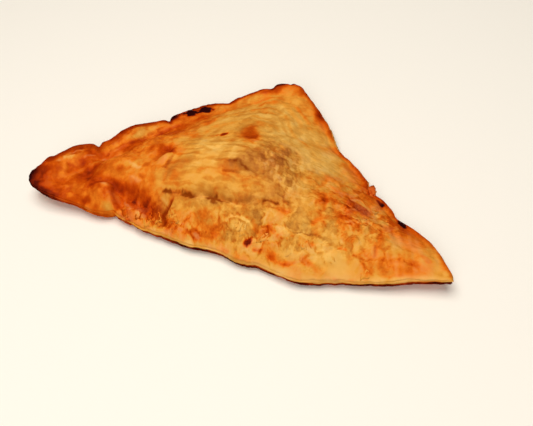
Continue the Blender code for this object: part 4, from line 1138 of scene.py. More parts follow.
        # browner along torn edges and the lines between flakes, partly painted shade
        total = flaky * (self.flake_brown * (broad.number - 0.5)
                         + self.chip_brown * (small.other - 0.5) + self.torn_brown_and_shade * torn
                         + self.gap_line_brown_and_shade * broken * hump(broad.gap, 0.12)
                         + self.chip_line_brown_and_shade * hump(small.gap, 0.14))
        total += self.sheet_brown * (0.08 + flaky) * (above - 1.5)
        total += self.mottle_brown * np.tanh(3.5 * rough(x, y, 6.8, 3, 907))
        return total + (0.015 + 0.04 * flaky) * np.tanh(3.5 * rough(0.8 * x, y, 2.4, 3, 1009))

    def filling(self, x: Array, y: Array) -> Array:
        """How strongly the filling shows through, from 0 to 1, in broad uneven patches."""
        fade = (0.9 + 0.7 * rough(x, y, 5.0, 3, 1103)) * (0.45 + 1.1 * self.chunks(x, y).number)
        return np.clip(swell_sum(self.filling_patches, x, y) * fade, 0.0, 1.0)

    def flank(self, x: Array, y: Array) -> Array:
        """How streaky each place of the crown's right flank is, from 0 to 1."""
        return np.clip(swell_sum(self.streaked, x, y), 0.0, 1.0)

    def chunks(self, x: Array, y: Array) -> Plates:
        """Pieces of the filling that press against the skin, longer down the flank."""
        along, aside = self.downhill(x + 0.5 * rough(x, y, 2.0, 2, 1109), y)
        return plates(along, aside, self.chunk_pitch, self.chunk_stretch, 1117)

    def fibres(self, x: Array, y: Array) -> Array:
        """Fibres of the crown's skin: a rough field, drawn out along X and steepened by tanh.

        Args:
            x, y: plan places.

        Returns:
            From -1 for browner fibres to 1 for paler ones, on the crown and along the slit.
        """
        crown = (eased(y, 2.0, 4.0) * eased(y, 38.0, -10.0) * eased(x, -30.0, 10.0)
                 * eased(x, 26.0, -8.0))
        along_slit = hump(y - 5.0, 7.0) * eased(np.abs(x), 28.0, -8.0)
        wavy = y + 1.1 * rough(x, y, 7.0, 3, 1207)
        grain = np.tanh(3.2 * rough(0.24 * x, wavy, 1.4, 3, 1201))
        return np.clip(crown + along_slit, 0.0, 1.0) * grain

    def downhill(self, x: Array, y: Array) -> tuple[Array, Array]:
        """The plan turned so that its first axis runs down the crown's right flank."""
        turn = math.radians(self.streak_turn)
        return (x * math.cos(turn) + y * math.sin(turn), y * math.cos(turn) - x * math.sin(turn))

    def tone(self, relief: FineRelief, x: Array, y: Array) -> Array:
        """Lighter or darker cast, above 0 for paler skin and below 0 for browner.

        Args:
            relief: the fine relief.
            x, y: plan places.

        Returns:
            The casts of flakes and chips, painted shade along torn edges and the lines between them with
            painted highlight on the pale rims beside those lines, streaks of the slit and the flank,
            mottling, specks, tints and strokes, among which the pale specks and some pale tints and strokes
            are painted highlights, added up.
        """
        broad, small = relief.flakes(x, y), relief.chips(x, y)
        broken = smooth_step(0.4 + 2.5 * rough(x, y, 3.0, 3, 1297))
        # dark lines along torn edges and between flakes are painted shadow, and the pale rims beside them
        # painted highlight
        cast = (self.flaky_cast + self.flake_cast * (broad.other - 0.5)
                + self.chip_cast * (small.number - 0.5)
                - self.torn_edge_shade * relief.sheets(x, y)[1]
                - self.chip_gap_shade * hump(small.gap, 0.12)
                + broken * (self.flake_rim_highlight * hump(broad.gap - 0.28, 0.12) - hump(broad.gap, 0.09)))
        flank, chunks = self.flank(x, y), self.chunks(x, y)
        along, aside = self.downhill(x, y)
        streaks = (self.streak_cast * rough(0.25 * along, aside, 1.9, 2, 1213)
                   + self.chunk_cast * (chunks.other - 0.5 - 0.25 * hump(chunks.gap, 0.15)))
        streaks = flank * streaks + (1.0 - flank) * self.fibre_cast * self.fibres(x, y)
        back = eased(y, 8.0, 12.0)
        mottle = np.tanh(2.5 * ((1.0 - back) * rough(0.8 * x, y, 4.6, 4, 1223)
                                + back * rough(x, 0.45 * y, 4.0, 4, 1229)))
        bands = np.tanh(4.0 * rough(1.3 * x + 0.5 * y, 0.22 * y, 3.0, 3, 1283))
        specks = np.tanh(4.0 * rough(x, 0.8 * y, 1.7, 3, 1261))
        total = (relief.flaky(x, y) * cast + streaks + self.mottle_cast * mottle
                 + swell_sum(self.tints_and_highlights, x, y))
        total += self.middle_cast * eased(x, 30.0, -12.0) * eased(y, -4.0, 6.0)
        total += self.band_cast * eased(x, 46.0, 8.0) * bands
        # pale and brown specks of the left end, the pale ones painted highlights
        total += self.speck_and_highlight_cast * eased(x, -22.0, -10.0) * specks
        wx = x + 0.6 * rough(x, y, 3.0, 3, 1237) + 0.3 * rough(x, y, 0.9, 2, 1239)
        wy = y + 0.6 * rough(x, y, 2.4, 3, 1249) + 0.3 * rough(x, y, 0.9, 2, 1251)
        fade = np.clip(1.0 + 1.5 * rough(x, y, 1.5, 3, 1231), 0.0, 1.6)
        total -= fade * sum(line.brown * line.ridge(wx, wy) for line in self.strokes)
        return np.clip(total, -3.0, 1.4)


# ---- Meshes -------------------------------------------------------------------------------

@dataclass(frozen=True)
class Lattice:
    """The flat triangle, cut into even small ones.

    A place of it is named by whole steps i towards the right tip and j towards the back
    corner, and the points are kept row by row of j.
    """

    cuts: int

    def steps(self) -> tuple[Array, Array]:
        """Steps i and j of every point, with i + j no more than the cuts."""
        j, i = np.mgrid[0:self.cuts + 1, 0:self.cuts + 1]
        return i[i + j <= self.cuts], j[i + j <= self.cuts]

    def index(self, i: Array, j: Array) -> Array:
        """Number of the point at steps i and j: j rows of falling length, and i more."""
        return j * (self.cuts + 1) - j * (j - 1) // 2 + i

    def shares(self) -> Array:
        """Corner shares of every point: left tip, right tip and back corner."""
        i, j = self.steps()
        return np.stack((self.cuts - i - j, i, j), axis=1) / float(self.cuts)

    def faces(self) -> Array:
        """Triangles between the points.

        Returns:
            Three numbers for each, anticlockwise from above.
        """
        i, j = self.steps()
        up, down = i + j < self.cuts, i + j < self.cuts - 1
        pointing_up = (self.index(i[up], j[up]), self.index(i[up] + 1, j[up]),
                       self.index(i[up], j[up] + 1))
        pointing_down = (self.index(i[down] + 1, j[down]), self.index(i[down] + 1, j[down] + 1),
                         self.index(i[down], j[down] + 1))
        return np.concatenate((np.stack(pointing_up, axis=1), np.stack(pointing_down, axis=1)))

    def border(self) -> Array:
        """Numbers of the points round the triangle, anticlockwise from the left tip."""
        k, none = np.arange(self.cuts), np.zeros(self.cuts, dtype=np.int64)
        return np.concatenate((self.index(k, none), self.index(self.cuts - k, k),
                               self.index(none, self.cuts - k)))


def strip(upper: Array, lower: Array) -> Array:
    """Triangles between two closed rings of points, facing out of the upper one.

    Args:
        upper: numbers of one ring's points, anticlockwise from above.
        lower: as many of the ring below it or inside it.

    Returns:
        Two triangles for each pair of neighbours.
    """
    upper_next, lower_next = np.roll(upper, -1), np.roll(lower, -1)
    return np.concatenate((np.stack((lower, lower_next, upper_next), axis=1),
                           np.stack((lower, upper_next, upper), axis=1)))


def normals_of(points: Array, faces: Array) -> Array:
    """Unit normal at every point: the sum of its triangles' normals, made unit length.

    Args:
        points: their places.
        faces: triangles between them.

    Returns:
        One unit vector for each point.
    """
    corner = points[faces]
    square = np.cross(corner[:, 1] - corner[:, 0], corner[:, 2] - corner[:, 0])
    total = np.stack([np.bincount(faces.ravel(), np.repeat(square[:, axis], 3), len(points))
                      for axis in range(3)], axis=1)
    return total / np.maximum(np.linalg.norm(total, axis=1, keepdims=True), 1e-12)


def make_mesh(name: str, points: Array, faces: Array, fields: dict[str, Array]) -> bpy.types.Object:
    """Puts points and equal-sided faces into a new object, with numbers for each point.

    Args:
        name: of the object and of its mesh.
        points: places in metres, one row of three each.
        faces: numbers of the points of each face, one row each.
        fields: named numbers, one for each point, that the finish reads.

    Returns:
        The object, linked to the scene, at the origin, with smooth faces.
    """
    sides = faces.shape[1]
    mesh = bpy.data.meshes.new(name)
    mesh.vertices.add(len(points))
    mesh.vertices.foreach_set("co", points.astype(np.float32).ravel())
    mesh.loops.add(faces.size)
    mesh.loops.foreach_set("vertex_index", faces.astype(np.int32).ravel())
    mesh.polygons.add(len(faces))
    mesh.polygons.foreach_set("loop_start", np.arange(0, faces.size, sides, dtype=np.int32))
    mesh.update(calc_edges=True)
    mesh.validate()
    mesh.shade_smooth()
    for field_name, values in fields.items():
        layer = mesh.attributes.new(field_name, "FLOAT", "POINT")
        layer.data.foreach_set("value", values.astype(np.float32))
    made = bpy.data.objects.new(name, mesh)
    bpy.context.scene.collection.objects.link(made)
    return made


# ---- Finishes -----------------------------------------------------------------------------

def srgb(red: int, green: int, blue: int) -> Colour:
    """A screen colour of three numbers to 255 as linear light: ((c + 0.055) / 1.055)^2.4."""
    parts = (value / 255.0 for value in (red, green, blue))
    return (*(p / 12.92 if p <= 0.04045 else ((p + 0.055) / 1.055) ** 2.4 for p in parts), 1.0)


class Operation(Enum):
    """What a Math node does with its two numbers."""

    ADD = "ADD"
    SUBTRACT = "SUBTRACT"
    MULTIPLY = "MULTIPLY"
    ABSOLUTE = "ABSOLUTE"


class Bench:
    """Lays out the nodes of one material."""

    def __init__(self, name: str) -> None:
        """Starts an empty material.

        Args:
            name: the material's name.
        """
        self.material = bpy.data.materials.new(name)
        self.material.use_nodes = True
        self.tree = self.material.node_tree
        self.tree.nodes.clear()

    def node(self, kind: str, settings: dict, sockets: dict) -> bpy.types.Node:
        """Adds one node.

        Args:
            kind: the node's type.
            settings: its properties, or stops for a colour ramp, which are set first.
            sockets: a value or a link for each named or numbered input.

        Returns:
            The node.
        """
        made = self.tree.nodes.new(kind)
        for name, setting in settings.items():
            if name == "stops":
                self.set_stops(made.color_ramp, setting)
            else:
                setattr(made, name, setting)
        for name, value in sockets.items():
            source = value.socket if isinstance(value, Value) else value
            if isinstance(source, Socket):
                self.tree.links.new(source, made.inputs[name])
            else:
                made.inputs[name].default_value = source
        return made

    def set_stops(self, ramp: bpy.types.ColorRamp, stops: Sequence[tuple[float, Colour]]) -> None:
        """Gives a colour ramp its stops, in rising order.

        Args:
            ramp: the ramp, which has two stops when it is new.
            stops: place and colour of each.
        """
        while len(ramp.elements) < len(stops):
            ramp.elements.new(1.0)
        for element, (place, colour) in zip(ramp.elements, stops):
            element.position = place
            element.color = colour

    def field(self, name: str) -> "Value":
        """The number that a mesh holds for each of its points under a name."""
        found = self.node("ShaderNodeAttribute", {"attribute_name": name}, {})
        return Value(self, found.outputs["Fac"])

    def maths(self, operation: Operation, first: "Number", second: "Number") -> "Value":
        """One Math node on two numbers.

        Args:
            operation: the node's operation.
            first, second: its numbers.

        Returns:
            The outcome.
        """
        made = self.node("ShaderNodeMath", {"operation": operation.value},
                         {0: first, 1: second})
        return Value(self, made.outputs[0])

    def held(self, value: "Value") -> "Value":
        """A number kept between 0 and 1."""
        made = self.node("ShaderNodeClamp", {}, {"Value": value})
        return Value(self, made.outputs[0])

    def noise(self, place: Socket, pitch: float, detail: float) -> "Value":
        """Cloudy field over the object's own coordinates.

        Args:
            place: the coordinates.
            pitch: size of its largest clouds, in metres.
            detail: how many finer octaves it has.

        Returns:
            The field, about 0.5 on average.
        """
        made = self.node("ShaderNodeTexNoise", {"noise_dimensions": "3D"},
                         {"Vector": place, "Scale": 1.0 / pitch, "Detail": detail,
                          "Roughness": 0.55})
        return Value(self, made.outputs["Fac"])

    def turned(self, place: Socket, degrees: float,
               scales: Triple) -> Socket:
        """Coordinates turned about Z, then stretched.

        Args:
            place: the coordinates.
            degrees: direction from +X that becomes the first axis.
            scales: factors of the three axes.

        Returns:
            The new coordinates.
        """
        flat = self.node("ShaderNodeMapping", {"vector_type": "POINT"},
                         {"Vector": place, "Rotation": (0.0, 0.0, -math.radians(degrees))})
        made = self.node("ShaderNodeVectorMath", {"operation": "MULTIPLY"},
                         {0: flat.outputs[0], 1: scales})
        return made.outputs[0]

    def blots(self, place: Socket, pitch: float,
              stretch: Triple) -> tuple["Value", "Value"]:
        """Blots with fairly sharp borders: a cloudy field, steepened about its middle.

        Args:
            place: the coordinates.
            pitch: size of the largest blots, in metres.
            stretch: factors of the three axes.

        Returns:
            0 between the blots and 1 on them, and a thin line along the field's middle level.
        """
        laid = self.node("ShaderNodeVectorMath", {"operation": "MULTIPLY"},
                         {0: place, 1: stretch}).outputs[0]
        above = self.noise(laid, pitch, 5.0) - 0.5
        line = self.held(1.0 - 34.0 * self.maths(Operation.ABSOLUTE, above, 0.0))
        return self.held(7.0 * above + 0.5), line

    def mixed(self, share: "Number", first: object, second: object,
              blend: str = "MIX") -> Socket:
        """Two colours mixed.

        Args:
            share: of the second colour, from 0 to 1.
            first, second: colours or links.
            blend: how the second goes over the first.

        Returns:
            The mixed colour's socket.
        """
        made = self.node("ShaderNodeMix", {"data_type": "RGBA", "blend_type": blend},
                         {"Factor": share, 6: first, 7: second})
        return made.outputs[2]


@dataclass(frozen=True)
class Value:
    """A shader's number, on which Python's arithmetic adds Math nodes.

    Attributes:
        bench: where the nodes are laid out.
        socket: the output that gives the number.
    """

    bench: Bench
    socket: Socket

    def __add__(self, other: "Number") -> "Value":
        """This number plus another."""
        return self.bench.maths(Operation.ADD, self, other)

    def __radd__(self, other: "Number") -> "Value":
        """Another number plus this one."""
        return self.bench.maths(Operation.ADD, other, self)

    def __sub__(self, other: "Number") -> "Value":
        """This number less another."""
        return self.bench.maths(Operation.SUBTRACT, self, other)

    def __rsub__(self, other: "Number") -> "Value":
        """Another number less this one."""
        return self.bench.maths(Operation.SUBTRACT, other, self)

    def __mul__(self, other: "Number") -> "Value":
        """This number times another."""
        return self.bench.maths(Operation.MULTIPLY, self, other)

    def __rmul__(self, other: "Number") -> "Value":
        """Another number times this one."""
        return self.bench.maths(Operation.MULTIPLY, other, self)


Number = Union[Value, float]


@dataclass(frozen=True)
class CrustFinish:
    """Baked, faintly glazed puff pastry.

    Attributes:
        name: of the material.
        browning: colour at each step of baking, from pale straw to char.
        filling: colour of the filling seen through thin pastry.
        flaked, toasted: colour of the palest flakes and of painted highlights, and what a browner cast,
            painted shade among such casts, multiplies by.
        grain, blot, spot: sizes of the pores and of large and small blots, in metres.
        streak, streak_turn: scales and direction of the streaks down the flank.
        glaze: coat where the skin shines most.
    """

    name: str = "baked_crust_skin"
    browning: tuple[tuple[float, Colour], ...] = (
        (0.00, srgb(237, 191, 104)),
        (0.15, srgb(228, 167, 74)),
        (0.30, srgb(222, 149, 54)),
        (0.45, srgb(224, 119, 28)),
        (0.60, srgb(202, 82, 9)),
        (0.75, srgb(174, 56, 5)),
        (0.88, srgb(116, 30, 8)),
        (1.00, srgb(46, 9, 10)),
    )
    filling: Colour = srgb(188, 114, 46)
    pale_flake_and_highlight: Colour = srgb(244, 204, 136)
    toasted_and_shade: Colour = (0.36, 0.15, 0.06, 1.0)
    grain: float = 0.0007
    blot: float = 0.0050
    spot: float = 0.0020
    streak: Triple = (260.0, 600.0, 400.0)
    streak_turn: float = -70.0
    glaze: float = 0.03

    def material(self) -> bpy.types.Material:
        """Lays out the material.

        Returns:
            Its colour follows the mesh's baked, filling and tone numbers, broken into blots where
            the skin is flaky and into streaks down the flank, with pores and blots in its normal,
            and a shine that follows the mesh's gloss.
        """
        bench = Bench(self.name)
        place = bench.node("ShaderNodeTexCoord", {}, {}).outputs["Object"]
        pores = bench.noise(place, self.grain, 4.0)
        specks = bench.noise(place, 2.2 * self.grain, 3.0)
        flaky, filling, gloss = (bench.field(name) for name in ("flaky", "filling", "gloss"))
        blot, seam = bench.blots(place, self.blot, (0.7, 1.0, 1.0))
        spot, crack = bench.blots(place, self.spot, (1.0, 0.7, 1.0))
        run = bench.noise(bench.turned(place, self.streak_turn, self.streak), 1.0, 3.0)
        run = bench.field("streaky") * (run - 0.5)
        level = (bench.field("baked") + (0.06 + 0.08 * flaky) * (specks - 0.5)
                 + 0.05 * (pores - 0.5) + flaky * (0.08 * (blot - 0.5) + 0.05 * (spot - 0.5)))
        shown = bench.held(filling * (0.9 + 1.0 * (specks - 0.5) + 3.4 * run))
        cast = (0.24 * bench.field("tone") + 0.16 * (pores - 0.5) + 0.10 * (specks - 0.5)
                + flaky * (0.10 * (spot - 0.5) + 0.08 * (blot - 0.5) - 0.06 * seam
                           - 0.03 * crack) - 0.7 * run)
        brown = bench.held(-1.55 * cast)
        level = bench.held(level + 0.52 * brown * (1.0 - brown))
        ramp = bench.node("ShaderNodeValToRGB", {"stops": self.browning}, {"Fac": level})
        colour = bench.mixed(shown, ramp.outputs["Color"], self.filling)
        # a paler cast mixes towards the pale colour, painted highlights among them; a browner one
        # multiplies by the toasted colour, painted shade among them
        colour = bench.mixed(bench.held(cast * bench.held(1.4 - 1.6 * level)), colour, self.pale_flake_and_highlight)
        colour = bench.mixed(brown, colour, self.toasted_and_shade, "MULTIPLY")
        roughness = bench.held(0.62 - 0.26 * gloss + 0.24 * (specks - 0.5))
        relief = pores + flaky * (3.0 * blot + 1.6 * spot)
        bump = bench.node("ShaderNodeBump", {}, {"Strength": 0.5, "Distance": 0.00012,
                                                 "Height": relief})
        shader = bench.node("ShaderNodeBsdfPrincipled", {},
                            {"Base Color": colour, "Roughness": roughness,
                             "Normal": bump.outputs["Normal"],
                             "Coat Weight": gloss * self.glaze, "Coat Roughness": 0.3,
                             "Specular IOR Level": 0.0, "IOR": 1.45})
        bench.node("ShaderNodeOutputMaterial", {}, {"Surface": shader.outputs["BSDF"]})
        return bench.material


@dataclass(frozen=True)
class FloorFinish:
    """Plain pale matt floor."""

    name: str = "pale_floor"
    colour: Colour = srgb(246, 243, 238)

    def material(self) -> bpy.types.Material:
        """Lays out one plain shader in the floor's colour.

        Returns:
            The material.
        """
        bench = Bench(self.name)
        shader = bench.node("ShaderNodeBsdfPrincipled", {},
                            {"Base Color": self.colour, "Roughness": 0.85})
        bench.node("ShaderNodeOutputMaterial", {}, {"Surface": shader.outputs["BSDF"]})
        return bench.material


# ---- The puff's pieces --------------------------------------------------------------------

@dataclass
class Crust:
    """The whole crust as one closed skin: top, leaves of the side, underside and flat base."""

    form: PuffForm
    relief: FineRelief
    browning: Browning
    plan_shift: Pair = (0.2665, -35.642)
    cuts: int = 334
    side_rows: int = 15
    side_down: tuple[float, ...] = (0.0, 0.9, 1.6, 2.6, 3.5)
    side_out: tuple[float, ...] = (0.0, 0.45, -0.15, 0.30, -0.70)
    leaves: float = 4.6
    leaf_depth: float = 0.26
    leaf_reach: float = 0.40
    underside_scales: tuple[float, ...] = (0.985, 0.965, 0.945, 0.92, 0.89, 0.85, 0.81, 0.76,
                                           0.68, 0.58, 0.46, 0.34, 0.22, 0.10)
    underside_shrink: float = 0.92
    underside_height: float = 0.35
    curl_under: float = 0.72
    base_shrink: float = 0.76
    pit_depth: float = 0.22
    lip_shade: float = 1.3
    lip_glow: float = 1.1
    pale_lip_and_foot_shade: float = 0.8
    hollow_brown_and_shade: float = 0.14
    under_brown: float = 0.42
    left_gloss: float = 0.40
    shares: Array = field(init=False)
    points: Array = field(init=False)
    faces: Array = field(init=False)
    baked: Array = field(init=False)
    top_count: int = field(init=False)

    def to_edge(self, shares: Array) -> Array:
        """Distance from the nearest edge."""
        return np.min(np.stack(self.form.distances(shares)), axis=0)

    def top(self, shares: Array) -> tuple[Array, Array]:
        """Points of the top and how far they are baked.

        The height is the form's and the fine relief's, which is lower along the edge. Close to
        the edge each point is moved in or out by a drift, so that the edge is ragged.

        Args:
            shares: corner shares of the points.

        Returns:
            The points in millimetres and their baking.
        """
        places = self.form.plan(shares)
        x, y = places[:, 0], places[:, 1]
        to_edge = self.to_edge(shares)
        kept = self.relief.border_share
        kept = kept + (1.0 - kept) * smooth_step(to_edge / 3.0)
        height = self.form.height(shares, places) + kept * self.relief.height(x, y)
        out = self.relief.rag_depth * rough(x, y, 2.6, 3, 1301)
        out = out * hump(to_edge, self.relief.rag_reach)
        away = places - self.form.middle()
        away = away / np.maximum(np.linalg.norm(away, axis=1, keepdims=True), 1e-9)
        ragged = places + away * out[:, None]
        baked = self.browning.baked(self.form, self.relief, shares, places)
        return np.column_stack((ragged, height)), baked

    def leaf_order(self, x: Array, y: Array, share: float) -> Array:
        """Place among the leaves of the side: leaves * share, with a drift added."""
        return self.leaves * share + 0.5 * drift(x, y, 11.0, 1409)

    def side(self, ring: Array, share: float) -> Array:
        """One row of points round the side.

        Args:
            ring: points of the top's border.
            share: how far down the side the row lies, from 0 to 1.

        Returns:
            The border moved down, and out by the solid's side line, by the waves of the leaves
            depth * cos(2 pi leaves share) and by each leaf's own drift.
        """
        x, y = ring[:, 0], ring[:, 1]
        down = share * self.side_down[-1]
        order = self.leaf_order(x, y, share)
        leaf = np.floor(order)
        out = (np.interp(down, self.side_down, self.side_out)
               + self.leaf_depth * np.cos(2.0 * np.pi * order)
               + self.leaf_reach * smooth_step(4.0 * share)
               * drift(x + 37.0 * leaf, y - 23.0 * leaf, 7.0, 1423))
        away = ring[:, :2] - self.form.middle()
        away = away / np.linalg.norm(away, axis=1, keepdims=True)
        edge = self.form.edge_height(ring[:, :2])
        height = edge - down + (ring[:, 2] - edge) * (1.0 - share) ** 2
        height = height + 0.12 * drift(x, y, 3.0, 1427) * math.sin(math.pi * share)
        return np.column_stack((ring[:, :2] + away * out[:, None], height))

    def under(self, shares: Array, last_row: Array, scale: float) -> Array:
        """One ring of points of the underside.

        Args:
            shares: corner shares of the border.
            last_row: the lowest row of the side.
            scale: how far the ring is drawn in towards the middle.

        Returns:
            The border drawn in by the scale, losing its nicks on the way to the flat base. Its
            height falls from the side's last row to the underside's, which keeps most of a tip's
            curl, and from there in a straight line to the base.
        """
        middle = self.form.middle()
        with_nicks = middle + (self.form.plan(shares) - middle) * scale
        smooth = middle + (self.form.plan(shares, with_nicks=False) - middle) * scale
        settled = float(smooth_step(np.array((self.underside_shrink - scale)
                                             / (self.underside_shrink - self.base_shrink))))
        places = with_nicks * (1.0 - settled) + smooth * settled
        curl = swell_sum(self.form.curls, places[:, 0], places[:, 1])
        ring_height = self.underside_height + self.curl_under * curl
        if scale > self.underside_shrink:
            blend = (1.0 - scale) / (1.0 - self.underside_shrink)
            places = last_row[:, :2] * (1.0 - blend) + places * blend
            height = last_row[:, 2] * (1.0 - blend) + ring_height * blend
        else:
            left = (scale - self.base_shrink) / (self.underside_shrink - self.base_shrink)
            height = ring_height * max(left, 0.0)
        bumps = np.clip(drift(places[:, 0], places[:, 1], 13.0, 1511), 0.0, None)
        height = height + self.pit_depth * bumps * smooth_step(np.array(6.0 * (1.0 - scale)))
        return np.column_stack((places, height))

    def build(self) -> bpy.types.Object:
        """Builds the skin and dresses it.

        Returns:
            The crust's object.
        """
        lattice = Lattice(self.cuts)
        self.shares = shares = lattice.shares()
        top, baked = self.top(shares)
        border = lattice.border()
        ring, ring_shares = top[border], shares[border]
        rows = [self.side(ring, (row + 1.0) / self.side_rows) for row in range(self.side_rows)]
        under = [self.under(ring_shares, rows[-1], scale) for scale in self.underside_scales]
        self.top_count = len(top)
        points = np.concatenate([top, *rows, *under, [[*self.form.middle(), 0.0]]])
        rings = [border] + [self.top_count + order * len(border) + np.arange(len(border))
                            for order in range(len(rows) + len(under))]
        strips = [strip(upper, lower) for upper, lower in zip(rings[:-1], rings[1:])]
        pole = np.full(len(border), len(points) - 1)
        fan = np.stack((pole, np.roll(rings[-1], -1), rings[-1]), axis=1)
        self.faces = np.concatenate([lattice.faces(), *strips, fan])
        self.points = points + np.array((*self.plan_shift, 0.0))
        fields = self.fields(points, baked, border, len(rows), len(under))
        self.baked = fields["baked"]
        crust = make_mesh("crust", self.points * MM, self.faces, fields)
        crust.data.materials.append(CrustFinish().material())
        return crust

    def side_baked(self, x: Array, y: Array, edge: Array, share: float) -> Array:
        """How far one row of the side is baked.

        Args:
            x, y: plan places of the border above it.
            edge: how far that border is baked.
            share: how far down the side the row lies, from 0 to 1.

        Returns:
            The border's baking mixed with the side's own, which rises towards the foot partly as painted
            shade of the underside, and more in the hollows between the leaves, partly painted shade there.
        """
        # pale at the border, browner towards the foot: real browning and painted shade of the underside
        foot_brown_and_shade = 0.08 + 0.72 * eased(share, 0.34, 0.28)
        own = foot_brown_and_shade + (0.44 - foot_brown_and_shade) * eased(x, -40.0, -4.0) + 0.18 * eased(x, -54.0, -6.0)
        own += 0.10 * rough(x, y + 9.0 * share, 4.0, 3, 1601)
        strength = 0.55 * (1.0 - eased(edge, 0.5, 0.3))
        lower = eased(share, 0.20, 0.25) * eased(x, -34.0, 22.0)
        strength += (0.9 - strength) * lower
        # browner in the hollows between the leaves, partly painted shade
        hollow = 0.5 - 0.5 * np.cos(2.0 * np.pi * self.leaf_order(x, y, share))
        return edge * (1.0 - strength) + own * strength + self.hollow_brown_and_shade * hollow

    def lip_cast(self, x: Array) -> Array:
        """Cast of the top's edges, each cast * exp(-(distance / reach)^2).

        Args:
            x: plan places of the top along the fold.

        Returns:
            Below 0 at both rims, less so at the left end, and above 0 at the fold.
        """
        to_fold, to_right, to_left = self.form.distances(self.shares)
        left = (1.0 - 0.5 * eased(x, -44.0, -8.0)) * hump(to_left, 1.1)
        return (self.lip_glow * eased(x, -46.0, 6.0) * hump(to_fold, 0.9)
                - self.lip_shade * (left + 0.6 * hump(to_right, 1.1)))

    def fields(self, points: Array, top_baked: Array, border: Array, rows: int,
               rings: int) -> dict[str, Array]:
        """The numbers that the finish reads at each point.

        Args:
            points: all points of the skin, in the form's plan.
            top_baked: how far the top is baked.
            border: numbers of the border's points.
            rows, rings: how many rows the side has, and how many rings the underside.

        Returns:
            Baked, filling, tone, gloss, flaky and streaky. The side takes its baking from the border and
            its own leaves and is darker towards its foot, partly as painted shade of the underside, and the
            underside is evenly browned.
        """
        x, y = points[:, 0], points[:, 1]
        edge, ring_x, ring_y = top_baked[border], x[border], y[border]
        top, count = slice(0, self.top_count), len(border)
        baked = np.full_like(x, self.under_brown)
        baked[top] = top_baked
        tone = self.browning.tone(self.relief, x, y)
        tone[top] += self.lip_cast(x[top])
        for row in range(rows):
            own = slice(self.top_count + row * count, self.top_count + (row + 1) * count)
            share = (row + 1.0) / rows
            baked[own] = self.side_baked(ring_x, ring_y, edge, share)
            # the side's cast: paler near the border, darker towards the foot as painted shade of the
            # underside, weaker at the left end
            cast = self.pale_lip_and_foot_shade * (eased(share, 0.46, -0.1) - eased(share, 0.48, 0.25))
            tone[own] += cast * (0.3 + 0.7 * eased(ring_x, -34.0, 22.0))
        base = self.top_count + rows * count
        for ring in range(rings):
            own = slice(base + ring * count, base + (ring + 1) * count)
            near = max(0.0, 1.0 - 3.0 * (ring + 1.0) / rings)
            baked[own] += 0.24 * drift(x[own], y[own], 17.0, 1613) + 0.3 * edge * near
        top_only = np.zeros_like(x)
        top_only[top] = 1.0
        flaky = self.relief.flaky(x, y)
        gloss = (0.45 + self.left_gloss * eased(x, -14.0, -22.0)
                 + 0.35 * rough(x, y, 6.0, 3, 1621) - 0.5 * flaky)
        gloss = np.clip(gloss, 0.0, 1.0) * (0.3 + 0.7 * top_only)
        inner = slice(base + 2 * count, None)
        tone[inner] = 0.3 * drift(x[inner], y[inner], 15.0, 1627)
        flaky[inner], gloss[inner] = 1.6, 0.1
        return {"baked": np.clip(baked, 0.0, 1.0), "tone": tone, "gloss": gloss, "flaky": flaky,
                "filling": self.browning.filling(x, y) * top_only,
                "streaky": self.browning.flank(x, y) * top_only}


@dataclass(frozen=True)
class FlakeField:
    """A stretch of skin on which loose flakes stand.

    Attributes:
        low, high: its lowest and highest x and y.
        count: how many flakes it has.
        lift: how high their free ends stand.
        paler: how much less they are baked than the skin under them.
        turn, spread: direction of their free ends, and how far single ones turn off it.
    """

    low: Pair
    high: Pair
    count: int
    lift: float
    paler: float
    turn: float = -1.6
    spread: float = 4.4


